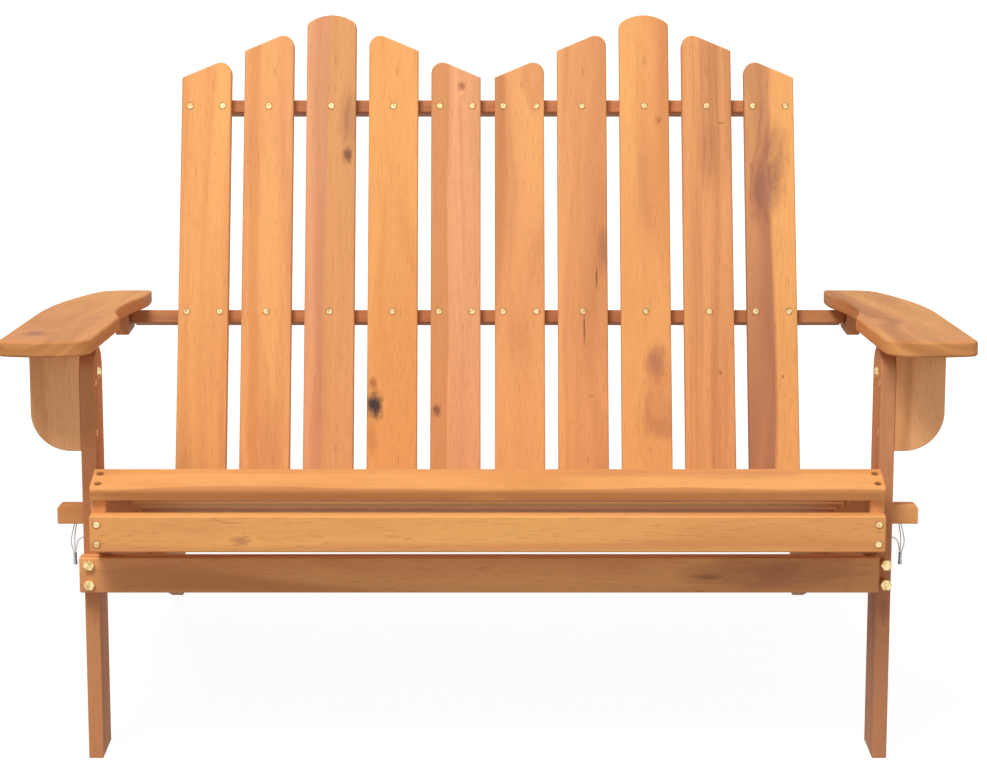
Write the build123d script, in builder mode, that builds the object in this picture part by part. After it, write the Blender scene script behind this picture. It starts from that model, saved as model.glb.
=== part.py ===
from build123d import *

import math
import os

# A two-seat adirondack loveseat of planed boards. It folds flat: the back turns down on the seat,
# the arms ride on the back's middle rail, and the front legs swing under the arms.
# Millimetres, +Z up, +Y to the rear, +X to the viewer's right, origin under the middle of the
# overall box on the floor. Pieces of the right side are drawn and the left ones mirrored.

# Whole seat
overall_depth = 885.0
overall_width = 1264.0
arm_overhang = 110.0

# Fits
rest_gap = 0.3
side_gap = 1.0
pin_fit = 0.05
glue_gap = 0.05

# Boards
rail_height = 19.5
slat_edge_round = 2.5
board_edge_round = 2.5
small_edge_round = 1.5

# Seat frame
stringer_thickness = 19.0
stringer_height = 84.0
arm_reach = 119.0
stringer_lead = 59.0
rear_foot_length = 40.8
foot_round = 12.0
seat_slat_width = 50.0
seat_slat_thickness = 18.0
seat_slat_count = 6
seat_slat_pitch = 72.7
first_slat_lead = 2.7
nose_tilt = 15.0
nose_bevel_lead = 27.1
nose_overlap = 9.1
nose_round = 8.0
apron_height = 48.5
apron_bottom = 307.0
apron_thickness = 19.7

# Front legs and the board across them
leg_depth = 70.0
leg_thickness = 19.5
stretcher_height = 48.0
stretcher_bottom = 235.0
stretcher_thickness = 20.0
stretcher_left_reach = 24.0
stretcher_right_reach = 2.0

# Fold pivots: distances behind the legs' front faces, and heights
leg_pivot_height = 520.0
back_pivot_setback = 365.0
back_pivot_drop = 27.5

# Back
back_lean = 17.6
fan_count = 5
back_slat_width = 75.5
back_slat_thickness = 20.0
back_middle_gap = 21.4
back_foot_setback = 411.6
back_foot_drop = 39.52
end_slat_length = 711.8
second_slat_length = 753.7
middle_slat_length = 809.5
slat_top_slope = 23.3
slat_peak_round = 17.0
arch_rise = 14.0
arch_corner_round = 10.0
rail_depth = 36.0
top_rail_inset = 49.0
slat_overhang = 3.0
top_rail_place = 670.7
mid_rail_reach = 29.0
arm_pivot_drop = 26.2
mid_rail_corner = 6.0
mid_rail_rear_round = 8.0
lower_rail_place = 28.5
top_screw_drop = 3.5
mid_screw_rise = 5.0
twin_screw_spacing = 50.0

# Hinge cheeks that carry the back, and the stops that it leans on
cheek_thickness = 20.0
cheek_nose_radius = 16.0
cheek_front_corner = 14.0
cheek_drop = 25.5
cheek_neck_rise = 1.5
cheek_neck_end = 3.5
cheek_lug_rise = 38.5
cheek_lug_start = 12.5
cheek_lug_end = 58.5
cheek_end = 71.5
stop_thickness = 23.5
stop_start_setback = 455.0
stop_length = 115.0
stop_foot_margin = 6.4

# Arms
arm_thickness = 20.0
arm_length = 712.7
arm_rise = 69.6
arm_drop_angle = 5.0
arm_width = 128.5
arm_edge_round = 3.5
arm_inner_corner_round = 45.0
arm_outer_corner_round = 14.0
arm_rear_round = 45.0
arm_rear_corner_round = 6.0
arm_notch_corner_round = 30.0
front_cleat_end = 110.0
cleat_thickness = 19.5
front_cleat_radius = 12.0
rear_cleat_reach = 29.8
rear_cleat_thickness = 18.9
rear_cleat_lead = 32.6
rear_cleat_trail = 39.4
rear_cleat_drop = 20.8

# Quarter-round brackets under the arms
bracket_setback = 1.0
bracket_width = 65.0
bracket_drop = 98.5
bracket_rise = 34.5
bracket_radius = 52.0

# Locking pegs with their cords
peg_height = 329.0
peg_handle_length = 38.0
peg_handle_height = 26.0
peg_handle_depth = 18.0
peg_corner = 5.0
peg_tenon_radius = 7.0
peg_end_gap = 0.5
cord_diameter = 1.6
ferrule_radius = 2.4
ferrule_drop = 54.4
ferrule_length = 14.0
ferrule_ball_radius = 3.0
ferrule_out = 17.2

# Screws
screw_radius = 2.2
screw_head_radius = 5.0
screw_head_angle = 82.0
screw_rim = 0.6
screw_cross_length = 5.6
screw_cross_width = 1.1
screw_cross_depth = 1.4
slat_screw_length = 42.0
seat_screw_length = 34.0
seat_screw_sink = 2.0
seat_screw_spacing = 26.0
apron_screw_length = 50.0
apron_screw_spacing = 26.1
cheek_screw_length = 50.0
cheek_screw_share = 0.8
bracket_screw_length = 46.0
bracket_screw_drop = 9.0
bracket_screw_spacing = 67.0
cleat_screw_length = 54.0
rear_cleat_screw_edge = 12.0
front_cleat_screw_edge = 18.0
stop_screw_length = 38.0
stop_screw_spacing = 60.0

# Bolts and nuts
bolt_radius = 4.0
bolt_head_radius = 8.0
bolt_head_height = 4.0
bolt_dome_share = 0.6
nut_height = 6.0
hex_radius = 7.5
hex_height = 5.0
stretcher_bolt_length = 65.0
stretcher_bolt_low = 247.0
stretcher_bolt_spacing = 27.0
arm_bolt_length = 60.0

# Places worked out from the sizes above
leg_front = arm_overhang - overall_depth / 2
rear_end = overall_depth / 2
stretcher_top = stretcher_bottom + stretcher_height
slope_tan = (stretcher_top + rest_gap) / (overall_depth - arm_overhang - rear_foot_length)
slope_angle = math.atan(slope_tan)
seat_slope = math.degrees(slope_angle)
slope_cos = math.cos(slope_angle)
lean_sin = math.sin(math.radians(back_lean))
lean_cos = math.cos(math.radians(back_lean))
drop_tan = math.tan(math.radians(arm_drop_angle))
drop_cos = math.cos(math.radians(arm_drop_angle))
drop_sin = math.sin(math.radians(arm_drop_angle))
stringer_outer = overall_width / 2 - arm_reach
arm_inner = overall_width / 2 - arm_width
top_rail_half = stringer_outer - top_rail_inset
mid_rail_half = stringer_outer + mid_rail_reach
stretcher_left = stringer_outer + stretcher_left_reach
stretcher_right = stringer_outer + stretcher_right_reach
rear_cleat_inner = stringer_outer + rear_cleat_reach
fan_half = top_rail_half + slat_overhang - back_middle_gap / 2
back_slat_gap = (fan_half - fan_count * back_slat_width) / (fan_count - 1)
arm_front_height = leg_pivot_height + arm_rise
bracket_bottom = leg_pivot_height - bracket_drop
bracket_top = leg_pivot_height + bracket_rise
bracket_screw_top = leg_pivot_height - bracket_screw_drop
stringer_inner = stringer_outer - stringer_thickness
leg_inner = stringer_outer + side_gap
leg_outer = leg_inner + leg_thickness
arm_start = leg_front - arm_overhang + arm_thickness * drop_sin
leg_middle = leg_inner + leg_thickness / 2
leg_pivot_setback = leg_depth / 2
cheek_outer = stringer_inner - side_gap
cheek_inner = cheek_outer - cheek_thickness
front_cleat_inner = leg_outer + side_gap
front_cleat_outer = front_cleat_inner + cleat_thickness
rear_cleat_outer = rear_cleat_inner + rear_cleat_thickness
leg_pivot_y = leg_front + leg_pivot_setback
back_pivot_y = leg_front + back_pivot_setback
back_foot_y = leg_front + back_foot_setback
screw_head_height = (screw_head_radius - screw_radius) / math.tan(math.radians(screw_head_angle / 2))
stringer_middle = stringer_outer - stringer_thickness / 2


def stringer_underside(y):
    """Height of the stringers' lower edges at a distance along Y."""
    return stretcher_top + rest_gap - slope_tan * (y - leg_front)


def seat_line(y):
    """Height of the stringers' upper edges, which the seat slats lie on."""
    return stringer_underside(y) + stringer_height / slope_cos


def arm_underside(y):
    """Height of the arms' lower faces at a distance along Y."""
    return arm_front_height - drop_tan * (y - arm_start) - arm_thickness / drop_cos


def back_point(behind, along):
    """Y and Z of a point so far behind the slats' front faces and so far up the back."""
    y = back_foot_y + behind * lean_cos + along * lean_sin
    return y, back_foot_height - behind * lean_sin + along * lean_cos


back_pivot_height = seat_line(back_pivot_y) - back_pivot_drop
back_foot_height = seat_line(back_foot_y) - back_foot_drop
back_plane = Plane(
    origin=(0, back_foot_y, back_foot_height),
    x_dir=(1, 0, 0),
    z_dir=(0, -lean_cos, lean_sin),
)
rail_plane = back_plane.offset(-back_slat_thickness)
arm_plane = Plane(
    origin=(0, arm_start, arm_front_height),
    x_dir=(1, 0, 0),
    z_dir=(0, drop_sin, drop_cos),
)
arm_pivot_behind = back_slat_thickness + rail_depth / 2
arm_pivot_rise = leg_pivot_height - arm_pivot_drop - back_foot_height
mid_rail_place = (arm_pivot_rise + arm_pivot_behind * lean_sin) / lean_cos
arm_pivot_y, arm_pivot_height = back_point(arm_pivot_behind, mid_rail_place)
rear_cleat_start = arm_pivot_y - rear_cleat_lead
rear_cleat_end = arm_pivot_y + rear_cleat_trail
rear_cleat_bottom = arm_pivot_height - rear_cleat_drop
back_pivot_behind = lean_cos * (back_pivot_y - back_foot_y) - lean_sin * (
    back_pivot_height - back_foot_height
)
back_pivot_along = lean_sin * (back_pivot_y - back_foot_y) + lean_cos * (
    back_pivot_height - back_foot_height
)


def profile_plane(x, y, z, angle):
    """Plane across the seat whose X runs rearward at an angle above level, drawn upright."""
    turn = math.radians(angle)
    return Plane(origin=(x, y, z), x_dir=(0, math.cos(turn), math.sin(turn)), z_dir=(1, 0, 0))


def outward(x, y, z):
    """Seat of a fastener on a face that looks away from the middle of the seat."""
    return Plane(origin=(x, y, z), x_dir=(0, 1, 0), z_dir=(1, 0, 0))


def inward(x, y, z):
    """Seat of a fastener on a face that looks to the middle of the seat."""
    return Plane(origin=(x, y, z), x_dir=(0, 1, 0), z_dir=(-1, 0, 0))


def forward(x, y, z):
    """Seat of a fastener on a face that looks to the front."""
    return Plane(origin=(x, y, z), x_dir=(1, 0, 0), z_dir=(0, -1, 0))


def downward(x, y, z):
    """Seat of a fastener on a face that looks to the floor."""
    return Plane(origin=(x, y, z), x_dir=(1, 0, 0), z_dir=(0, 0, -1))


def seat_on(plane, x, y):
    """Seat of a fastener at a point of a plane."""
    return Plane(plane.location * Pos(x, y, 0))


def both_sides(seats):
    """The seats of the right side with their mirror images on the left."""
    return [
        Plane(
            origin=(side * seat.origin.X, seat.origin.Y, seat.origin.Z),
            x_dir=seat.x_dir,
            z_dir=(side * seat.z_dir.X, seat.z_dir.Y, seat.z_dir.Z),
        )
        for side in (1, -1)
        for seat in seats
    ]


def add_screws(seats, length):
    """Countersunk screws driven in at the seats, with a raised rim and a cross cut in the head."""
    with Locations(*seats):
        Cylinder(screw_radius, length, align=(Align.CENTER, Align.CENTER, Align.MAX))
        Cone(
            screw_radius,
            screw_head_radius,
            screw_head_height,
            align=(Align.CENTER, Align.CENTER, Align.MAX),
        )
        Cylinder(screw_head_radius, screw_rim, align=(Align.CENTER, Align.CENTER, Align.MIN))
    with Locations(*[seat.offset(screw_rim) for seat in seats]):
        cross_align = (Align.CENTER, Align.CENTER, Align.MAX)
        Box(
            screw_cross_length,
            screw_cross_width,
            screw_cross_depth,
            align=cross_align,
            mode=Mode.SUBTRACT,
        )
        Box(
            screw_cross_width,
            screw_cross_length,
            screw_cross_depth,
            align=cross_align,
            mode=Mode.SUBTRACT,
        )


def sink_screws(seats, length):
    """Clearance holes with countersinks for screws whose heads lie in this piece."""
    with Locations(*seats):
        CounterSinkHole(
            screw_radius + pin_fit,
            screw_head_radius + pin_fit,
            depth=length + rest_gap,
            counter_sink_angle=screw_head_angle,
        )


def pilot_screws(seats, length):
    """Holes for the screws that reach this piece through another one."""
    with Locations(*seats):
        Hole(screw_radius + pin_fit, depth=length + rest_gap)


def bore(seats, radius, length):
    """Round holes of a running or tight fit, started at the seats."""
    with Locations(*seats):
        Hole(radius + pin_fit, depth=length)


def add_nuts(seats):
    """Hexagon nuts that stand on the seats, bored for the bolts."""
    for seat in seats:
        with BuildSketch(seat) as nut:
            RegularPolygon(hex_radius, 6)
            Circle(bolt_radius + pin_fit, mode=Mode.SUBTRACT)
        extrude(nut.sketch, amount=nut_height)


def add_hex_heads(seats):
    """Hexagon bolt heads that stand on the seats."""
    for seat in seats:
        with BuildSketch(seat) as head:
            RegularPolygon(hex_radius, 6)
        extrude(head.sketch, amount=hex_height)


def add_shanks(seats, length):
    """Round bolt shanks that run in from the seats."""
    with Locations(*seats):
        Cylinder(bolt_radius, length, align=(Align.CENTER, Align.CENTER, Align.MAX))


def add_domes(seats):
    """Low domed bolt heads that stand on the seats."""
    with Locations(*seats):
        Cone(
            bolt_head_radius,
            bolt_dome_share * bolt_head_radius,
            bolt_head_height,
            align=(Align.CENTER, Align.CENTER, Align.MIN),
        )


def save(part, label):
    """Name a finished piece and write it."""
    part.label = label
    export_step(part, f"parts/{label}.step")


def save_pair(part, label):
    """Write the right piece and its mirror image for the left side."""
    save(part, f"{label}_right")
    save(mirror(part, about=Plane.YZ), f"{label}_left")


os.makedirs("parts", exist_ok=True)

# Places of the fasteners on the right side
back_slat_offsets = [
    back_middle_gap / 2 + back_slat_width / 2 + step * (back_slat_width + back_slat_gap)
    for step in range(fan_count)
]
back_slat_centres = [-offset for offset in reversed(back_slat_offsets)] + back_slat_offsets
seat_slat_lines = [step * seat_slat_pitch - first_slat_lead for step in range(seat_slat_count)]


def slat_screw_offsets(index):
    """Screws side by side in the end slats of each fan, and one in each of the others."""
    if index % fan_count in (0, fan_count - 1):
        return [-twin_screw_spacing / 2, twin_screw_spacing / 2]
    return [0]


def back_screw_seats(place):
    """Seats on the slats' faces for one row of screws at a height along the back."""
    return [
        seat_on(back_plane, centre + offset, place)
        for index, centre in enumerate(back_slat_centres)
        for offset in slat_screw_offsets(index)
    ]


top_row = top_rail_place - top_screw_drop
mid_row = mid_rail_place + mid_screw_rise
screw_rows = [top_row, mid_row, lower_rail_place]

seat_start = profile_plane(0, leg_front, seat_line(leg_front), -seat_slope)
nose_y = leg_front - nose_bevel_lead
nose_plane = profile_plane(0, nose_y, seat_line(nose_y), nose_tilt)


def slat_screw_seats(plane, start):
    """Two seats across a seat slat over the right stringer."""
    middle = start + seat_slat_width / 2
    top = seat_slat_thickness - seat_screw_sink
    return [
        Plane(
            origin=plane.from_local_coords((middle + step, top, stringer_middle)),
            x_dir=(1, 0, 0),
            z_dir=plane.y_dir,
        )
        for step in (-seat_screw_spacing / 2, seat_screw_spacing / 2)
    ]


nose_screw_seats = slat_screw_seats(nose_plane, -seat_slat_width + nose_overlap)
seat_screw_seats = [slat_screw_seats(seat_start, start) for start in seat_slat_lines]
all_seat_screw_seats = nose_screw_seats + [seat for pair in seat_screw_seats for seat in pair]

apron_front = leg_front - stringer_lead - apron_thickness
apron_middle = apron_bottom + apron_height / 2
apron_screw_seats = [
    forward(stringer_middle, apron_front, apron_middle + step)
    for step in (-apron_screw_spacing / 2, apron_screw_spacing / 2)
]

back_pivot_seat = outward(stringer_outer, back_pivot_y, back_pivot_height)
back_pivot_grip = stringer_outer - cheek_inner
leg_pivot_seat = inward(leg_inner, leg_pivot_y, leg_pivot_height)
leg_pivot_grip = front_cleat_outer - leg_inner
arm_pivot_seat = outward(rear_cleat_outer, arm_pivot_y, arm_pivot_height)

stop_start = leg_front + stop_start_setback
stop_end = stop_start + stop_length
stop_inner = stringer_inner - stop_thickness


def stop_top(y):
    """Height of the stops' upper faces, just under the cheeks' lower edges."""
    behind = (y - back_foot_y + cheek_drop * lean_sin) / lean_cos
    return back_foot_height - behind * lean_sin - cheek_drop * lean_cos - rest_gap


def stop_foot(y):
    """Height of the stops' lower faces, a little above the stringers' lower edges."""
    return stringer_underside(y) + stop_foot_margin


stop_middle = (stop_start + stop_end) / 2
stop_screw_seats = [
    inward(stop_inner, y, (stop_top(y) + stop_foot(y)) / 2)
    for y in (stop_middle - stop_screw_spacing / 2, stop_middle + stop_screw_spacing / 2)
]

cheek_screw_behind = back_slat_thickness + cheek_screw_share * rail_depth
cheek_screw_seats = [outward(cheek_outer, *back_point(cheek_screw_behind, lower_rail_place))]

bracket_front = leg_front + bracket_setback
bracket_middle = bracket_front + stretcher_thickness / 2
bracket_screw_seats = [
    inward(leg_inner, bracket_middle, bracket_screw_top - step)
    for step in (0, bracket_screw_spacing)
]

front_cleat_middle = front_cleat_inner + cleat_thickness / 2
front_cleat_bottom = leg_pivot_height - front_cleat_radius
front_cleat_screw_seats = [
    downward(front_cleat_middle, leg_front + y, front_cleat_bottom)
    for y in (front_cleat_end - front_cleat_screw_edge, leg_pivot_setback + front_cleat_screw_edge)
]
rear_cleat_middle = rear_cleat_inner + rear_cleat_thickness / 2
rear_cleat_screw_seats = [
    downward(rear_cleat_middle, y, rear_cleat_bottom)
    for y in (rear_cleat_start + rear_cleat_screw_edge, rear_cleat_end - rear_cleat_screw_edge)
]

stretcher_front = leg_front - stretcher_thickness
stretcher_bolt_seats = [
    forward(side * leg_middle, stretcher_front, stretcher_bolt_low + step)
    for side in (-1, 1)
    for step in (0, stretcher_bolt_spacing)
]

# Stringers: straight boards that slope down to the rear and end in flat feet
with BuildPart() as stringer:
    with BuildSketch(Plane.YZ.offset(stringer_inner)) as stringer_side:
        front = leg_front - stringer_lead
        foot_front = leg_front + (stretcher_top + rest_gap) / slope_tan
        nose_drop = math.tan(math.radians(nose_tilt)) * (nose_y - front)
        with BuildLine():
            Polyline(
                (front, stringer_underside(front)),
                (foot_front, 0),
                (rear_end, 0),
                (rear_end, seat_line(rear_end)),
                (nose_y, seat_line(nose_y)),
                (front, seat_line(nose_y) - nose_drop),
                close=True,
            )
        make_face()
        fillet(stringer_side.vertices().group_by(Axis.Y)[0].sort_by(Axis.X)[0], foot_round)
    extrude(amount=stringer_thickness)
    fillet(stringer.faces().filter_by(Axis.X).edges(), small_edge_round)
    pilot_screws(all_seat_screw_seats, seat_screw_length)
    pilot_screws(apron_screw_seats, apron_screw_length)
    pilot_screws(stop_screw_seats, stop_screw_length)
    bore([back_pivot_seat], bolt_radius, back_pivot_grip)
save_pair(stringer.part, "stringer")


# Seat slats: the nose slat tips forward, the others lie on the slope
with BuildPart() as nose_slat:
    with BuildSketch(nose_plane.offset(-stringer_outer)) as nose_section:
        with Locations((nose_overlap - seat_slat_width, 0)):
            Rectangle(seat_slat_width, seat_slat_thickness, align=(Align.MIN, Align.MIN))
        fillet(nose_section.vertices().group_by(Axis.Y)[-1].sort_by(Axis.X)[0], nose_round)
    extrude(amount=2 * stringer_outer)
    fillet(nose_slat.faces().filter_by(Axis.X).edges(), small_edge_round)
    sink_screws(both_sides(nose_screw_seats), seat_screw_length)
save(nose_slat.part, "seat_slat_01")

for number, start in enumerate(seat_slat_lines):
    with BuildPart() as seat_slat:
        with BuildSketch(seat_start.offset(-stringer_outer)):
            with Locations((start, 0)):
                Rectangle(seat_slat_width, seat_slat_thickness, align=(Align.MIN, Align.MIN))
        extrude(amount=2 * stringer_outer)
        fillet(seat_slat.edges(), slat_edge_round)
        sink_screws(both_sides(seat_screw_seats[number]), seat_screw_length)
    save(seat_slat.part, f"seat_slat_{number + 2:02d}")

with BuildPart() as seat_screws:
    add_screws(both_sides(all_seat_screw_seats), seat_screw_length)
save(seat_screws.part, "seat_screws")

# Apron across the stringers' front ends
with BuildPart() as apron:
    with BuildSketch(profile_plane(-stringer_outer, apron_front, apron_bottom, 0)):
        Rectangle(apron_thickness, apron_height, align=(Align.MIN, Align.MIN))
    extrude(amount=2 * stringer_outer)
    fillet(apron.edges(), board_edge_round)
    sink_screws(both_sides(apron_screw_seats), apron_screw_length)
save(apron.part, "apron")

with BuildPart() as apron_screws:
    add_screws(both_sides(apron_screw_seats), apron_screw_length)
save(apron_screws.part, "apron_screws")

# Stops on the stringers' inner faces
with BuildPart() as back_stop:
    with BuildSketch(Plane.YZ.offset(stop_inner)):
        with BuildLine():
            Polyline(
                (stop_start, stop_foot(stop_start)),
                (stop_end, stop_foot(stop_end)),
                (stop_end, stop_top(stop_end)),
                (stop_start, stop_top(stop_start)),
                close=True,
            )
        make_face()
    extrude(amount=stop_thickness)
    sink_screws(stop_screw_seats, stop_screw_length)
save_pair(back_stop.part, "back_stop")

with BuildPart() as stop_screws:
    add_screws(both_sides(stop_screw_seats), stop_screw_length)
save(stop_screws.part, "stop_screws")

# Bolts that the back turns on
back_pivot_seats = both_sides([back_pivot_seat])
with BuildPart() as back_pivot_bolts:
    add_shanks(back_pivot_seats, back_pivot_grip + rest_gap + nut_height)
    add_domes(back_pivot_seats)
    add_nuts(both_sides([inward(cheek_inner - rest_gap, back_pivot_y, back_pivot_height)]))
save(back_pivot_bolts.part, "back_pivot_bolts")

# Back slats: two like fans of five, the middle slat of each the tallest
for number, centre in enumerate(back_slat_centres):
    place = number % fan_count
    half = back_slat_width / 2
    with BuildPart() as back_slat:
        with BuildSketch(back_plane) as slat_face:
            if place == 2:
                shoulder = middle_slat_length - arch_rise
                with BuildLine():
                    Polyline(
                        (centre + half, shoulder),
                        (centre + half, 0),
                        (centre - half, 0),
                        (centre - half, shoulder),
                    )
                    ThreePointArc(
                        (centre - half, shoulder),
                        (centre, middle_slat_length),
                        (centre + half, shoulder),
                    )
                make_face()
                fillet(slat_face.vertices().group_by(Axis.Y)[-1], arch_corner_round)
            else:
                low = end_slat_length if place in (0, 4) else second_slat_length
                high = low + back_slat_width * math.tan(math.radians(slat_top_slope))
                rise = half if place < 2 else -half
                with BuildLine():
                    Polyline(
                        (centre - rise, 0),
                        (centre + rise, 0),
                        (centre + rise, high),
                        (centre - rise, low),
                        close=True,
                    )
                make_face()
                fillet(slat_face.vertices().sort_by(Axis.Y)[-1], slat_peak_round)
        extrude(amount=-back_slat_thickness)
        fillet(back_slat.faces().filter_by(back_plane).edges(), slat_edge_round)
        offsets = slat_screw_offsets(number)
        seats = [seat_on(back_plane, centre + step, row) for step in offsets for row in screw_rows]
        sink_screws(seats, slat_screw_length)
    save(back_slat.part, f"back_slat_{number + 1:02d}")


def rail_section(half, place):
    """Outline of a rail's long face, centred across the slats' backs."""
    with Locations((0, place)):
        Rectangle(2 * half, rail_height)


lower_rail_half = cheek_inner - glue_gap
with BuildPart() as top_rail:
    with BuildSketch(rail_plane):
        rail_section(top_rail_half, top_rail_place)
    extrude(amount=-rail_depth)
    fillet(top_rail.edges(), board_edge_round)
    pilot_screws(back_screw_seats(top_row), slat_screw_length)
save(top_rail.part, "top_rail")

with BuildPart() as mid_rail:
    with BuildSketch(rail_plane) as mid_rail_face:
        rail_section(mid_rail_half, mid_rail_place)
        chamfer(mid_rail_face.vertices().group_by(Axis.Y)[0], mid_rail_corner)
    extrude(amount=-rail_depth)
    rear_face = mid_rail.faces().filter_by(back_plane).sort_by(Axis.Y)[-1]
    fillet(rear_face.edges().filter_by(Axis.X).sort_by(Axis.Z)[-1], mid_rail_rear_round)
    front_face = mid_rail.faces().filter_by(back_plane).sort_by(Axis.Y)[0]
    fillet(front_face.edges(), small_edge_round)
    pilot_screws(back_screw_seats(mid_row), slat_screw_length)
    bore(both_sides([arm_pivot_seat]), bolt_radius, arm_bolt_length + rest_gap)
save(mid_rail.part, "mid_rail")

with BuildPart() as lower_back_rail:
    with BuildSketch(rail_plane):
        rail_section(lower_rail_half, lower_rail_place)
    extrude(amount=-rail_depth)
    pilot_screws(back_screw_seats(lower_rail_place), slat_screw_length)
    pilot_screws(both_sides(cheek_screw_seats), cheek_screw_length)
save(lower_back_rail.part, "lower_back_rail")

with BuildPart() as back_screws:
    for row in screw_rows:
        add_screws(back_screw_seats(row), slat_screw_length)
save(back_screws.part, "back_screws")

# Cheeks that join the back to its pivots, below and behind the last seat slat
with BuildPart() as hinge_cheek:
    with BuildSketch(Plane.YZ.offset(cheek_inner)):
        cheek_front = back_pivot_behind - cheek_nose_radius
        cheek_throat = back_pivot_behind + cheek_nose_radius
        with BuildLine():
            Polyline(
                back_point(cheek_front, back_pivot_along),
                back_point(cheek_front, cheek_front_corner - cheek_drop),
                back_point(cheek_front + cheek_front_corner, -cheek_drop),
                back_point(cheek_end, -cheek_drop),
                back_point(cheek_end, cheek_neck_rise),
                back_point(cheek_lug_end, cheek_lug_rise),
                back_point(cheek_lug_start, cheek_lug_rise),
                back_point(-cheek_neck_end, cheek_neck_rise),
                back_point(cheek_throat, cheek_neck_rise),
                back_point(cheek_throat, back_pivot_along),
                close=True,
            )
        make_face()
        with Locations((back_pivot_y, back_pivot_height)):
            Circle(cheek_nose_radius)
    extrude(amount=cheek_thickness)
    bore([back_pivot_seat], bolt_radius, back_pivot_grip + rest_gap)
    sink_screws(cheek_screw_seats, cheek_screw_length)
save_pair(hinge_cheek.part, "hinge_cheek")

with BuildPart() as cheek_screws:
    add_screws(both_sides(cheek_screw_seats), cheek_screw_length)
save(cheek_screws.part, "cheek_screws")

# Arms: shares of their width outward from the inner edge, and of their length from the front
front_inner_share = (0.012, 0.02)
front_middle_share = (0.465, 0.0)
front_outer_share = (0.918, 0.02)
widest_share = (0.996, 0.507)
rear_outer_share = (0.66, 1.0)
rear_inner_share = (0.105, 1.0)
notch_rear_share = (0.121, 0.831)
notch_deep_share = (0.198, 0.648)
notch_middle_share = (0.152, 0.535)
notch_corner_share = (0.047, 0.444)


def arm_point(share):
    """A point of the arm's outline on its upper face."""
    across, along = share
    return arm_inner + across * arm_width, along * arm_length


with BuildPart() as arm:
    with BuildSketch(arm_plane) as arm_face:
        with BuildLine():
            ThreePointArc(
                arm_point(front_inner_share),
                arm_point(front_middle_share),
                arm_point(front_outer_share),
            )
            outer = Line(arm_point(front_outer_share), arm_point(widest_share))
            TangentArc(arm_point(widest_share), arm_point(rear_outer_share), tangent=outer % 1)
            Line(arm_point(rear_outer_share), arm_point(rear_inner_share))
            Line(arm_point(front_inner_share), arm_point(notch_corner_share))
            notch = ThreePointArc(
                arm_point(notch_corner_share),
                arm_point(notch_middle_share),
                arm_point(notch_deep_share),
            )
            tail = TangentArc(
                arm_point(notch_deep_share), arm_point(notch_rear_share), tangent=notch % 1
            )
            TangentArc(arm_point(notch_rear_share), arm_point(rear_inner_share), tangent=tail % 1)
        make_face()
        for share, radius in (
            (front_inner_share, arm_inner_corner_round),
            (front_outer_share, arm_outer_corner_round),
            (rear_outer_share, arm_rear_round),
            (rear_inner_share, arm_rear_corner_round),
            (notch_corner_share, arm_notch_corner_round),
        ):
            fillet(arm_face.vertices().sort_by_distance(arm_point(share))[0], radius)
    extrude(amount=-arm_thickness)
    fillet(arm.faces().filter_by(arm_plane).edges(), arm_edge_round)
    pilot_screws(front_cleat_screw_seats + rear_cleat_screw_seats, cleat_screw_length)
save_pair(arm.part, "arm")

# Cleats under the arms: the front ones hold the legs, the rear ones ride on the middle rail
with BuildPart() as front_cleat:
    with BuildSketch(Plane.YZ.offset(front_cleat_inner)) as cleat_side:
        cleat_front = leg_pivot_y - front_cleat_radius
        cleat_rear = leg_front + front_cleat_end
        with BuildLine():
            Polyline(
                (cleat_front, front_cleat_bottom),
                (cleat_rear, front_cleat_bottom),
                (cleat_rear, arm_underside(cleat_rear) - glue_gap),
                (cleat_front, arm_underside(cleat_front) - glue_gap),
                close=True,
            )
        make_face()
        corner = cleat_side.vertices().group_by(Axis.Y)[0].sort_by(Axis.X)[0]
        fillet(corner, front_cleat_radius)
    extrude(amount=cleat_thickness)
    bore([leg_pivot_seat], bolt_radius, leg_pivot_grip + rest_gap)
    sink_screws(front_cleat_screw_seats, cleat_screw_length)
save_pair(front_cleat.part, "front_cleat")

with BuildPart() as rear_cleat:
    with BuildSketch(Plane.YZ.offset(rear_cleat_inner)) as cleat_side:
        cleat_front = rear_cleat_start
        cleat_rear = rear_cleat_end
        with BuildLine():
            Polyline(
                (cleat_front, rear_cleat_bottom),
                (cleat_rear, rear_cleat_bottom),
                (cleat_rear, arm_underside(cleat_rear) - glue_gap),
                (cleat_front, arm_underside(cleat_front) - glue_gap),
                close=True,
            )
        make_face()
        fillet(cleat_side.vertices().group_by(Axis.Y)[0], board_edge_round)
    extrude(amount=rear_cleat_thickness)
    bore([arm_pivot_seat], bolt_radius, rear_cleat_thickness)
    sink_screws(rear_cleat_screw_seats, cleat_screw_length)
save_pair(rear_cleat.part, "rear_cleat")

with BuildPart() as arm_screws:
    add_screws(both_sides(front_cleat_screw_seats + rear_cleat_screw_seats), cleat_screw_length)
save(arm_screws.part, "arm_screws")

# Bolts from the rear cleats into the ends of the middle rail
arm_pivot_seats = both_sides([arm_pivot_seat])
with BuildPart() as arm_pivot_bolts:
    add_shanks(arm_pivot_seats, arm_bolt_length)
    add_hex_heads(arm_pivot_seats)
save(arm_pivot_bolts.part, "arm_pivot_bolts")

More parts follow.
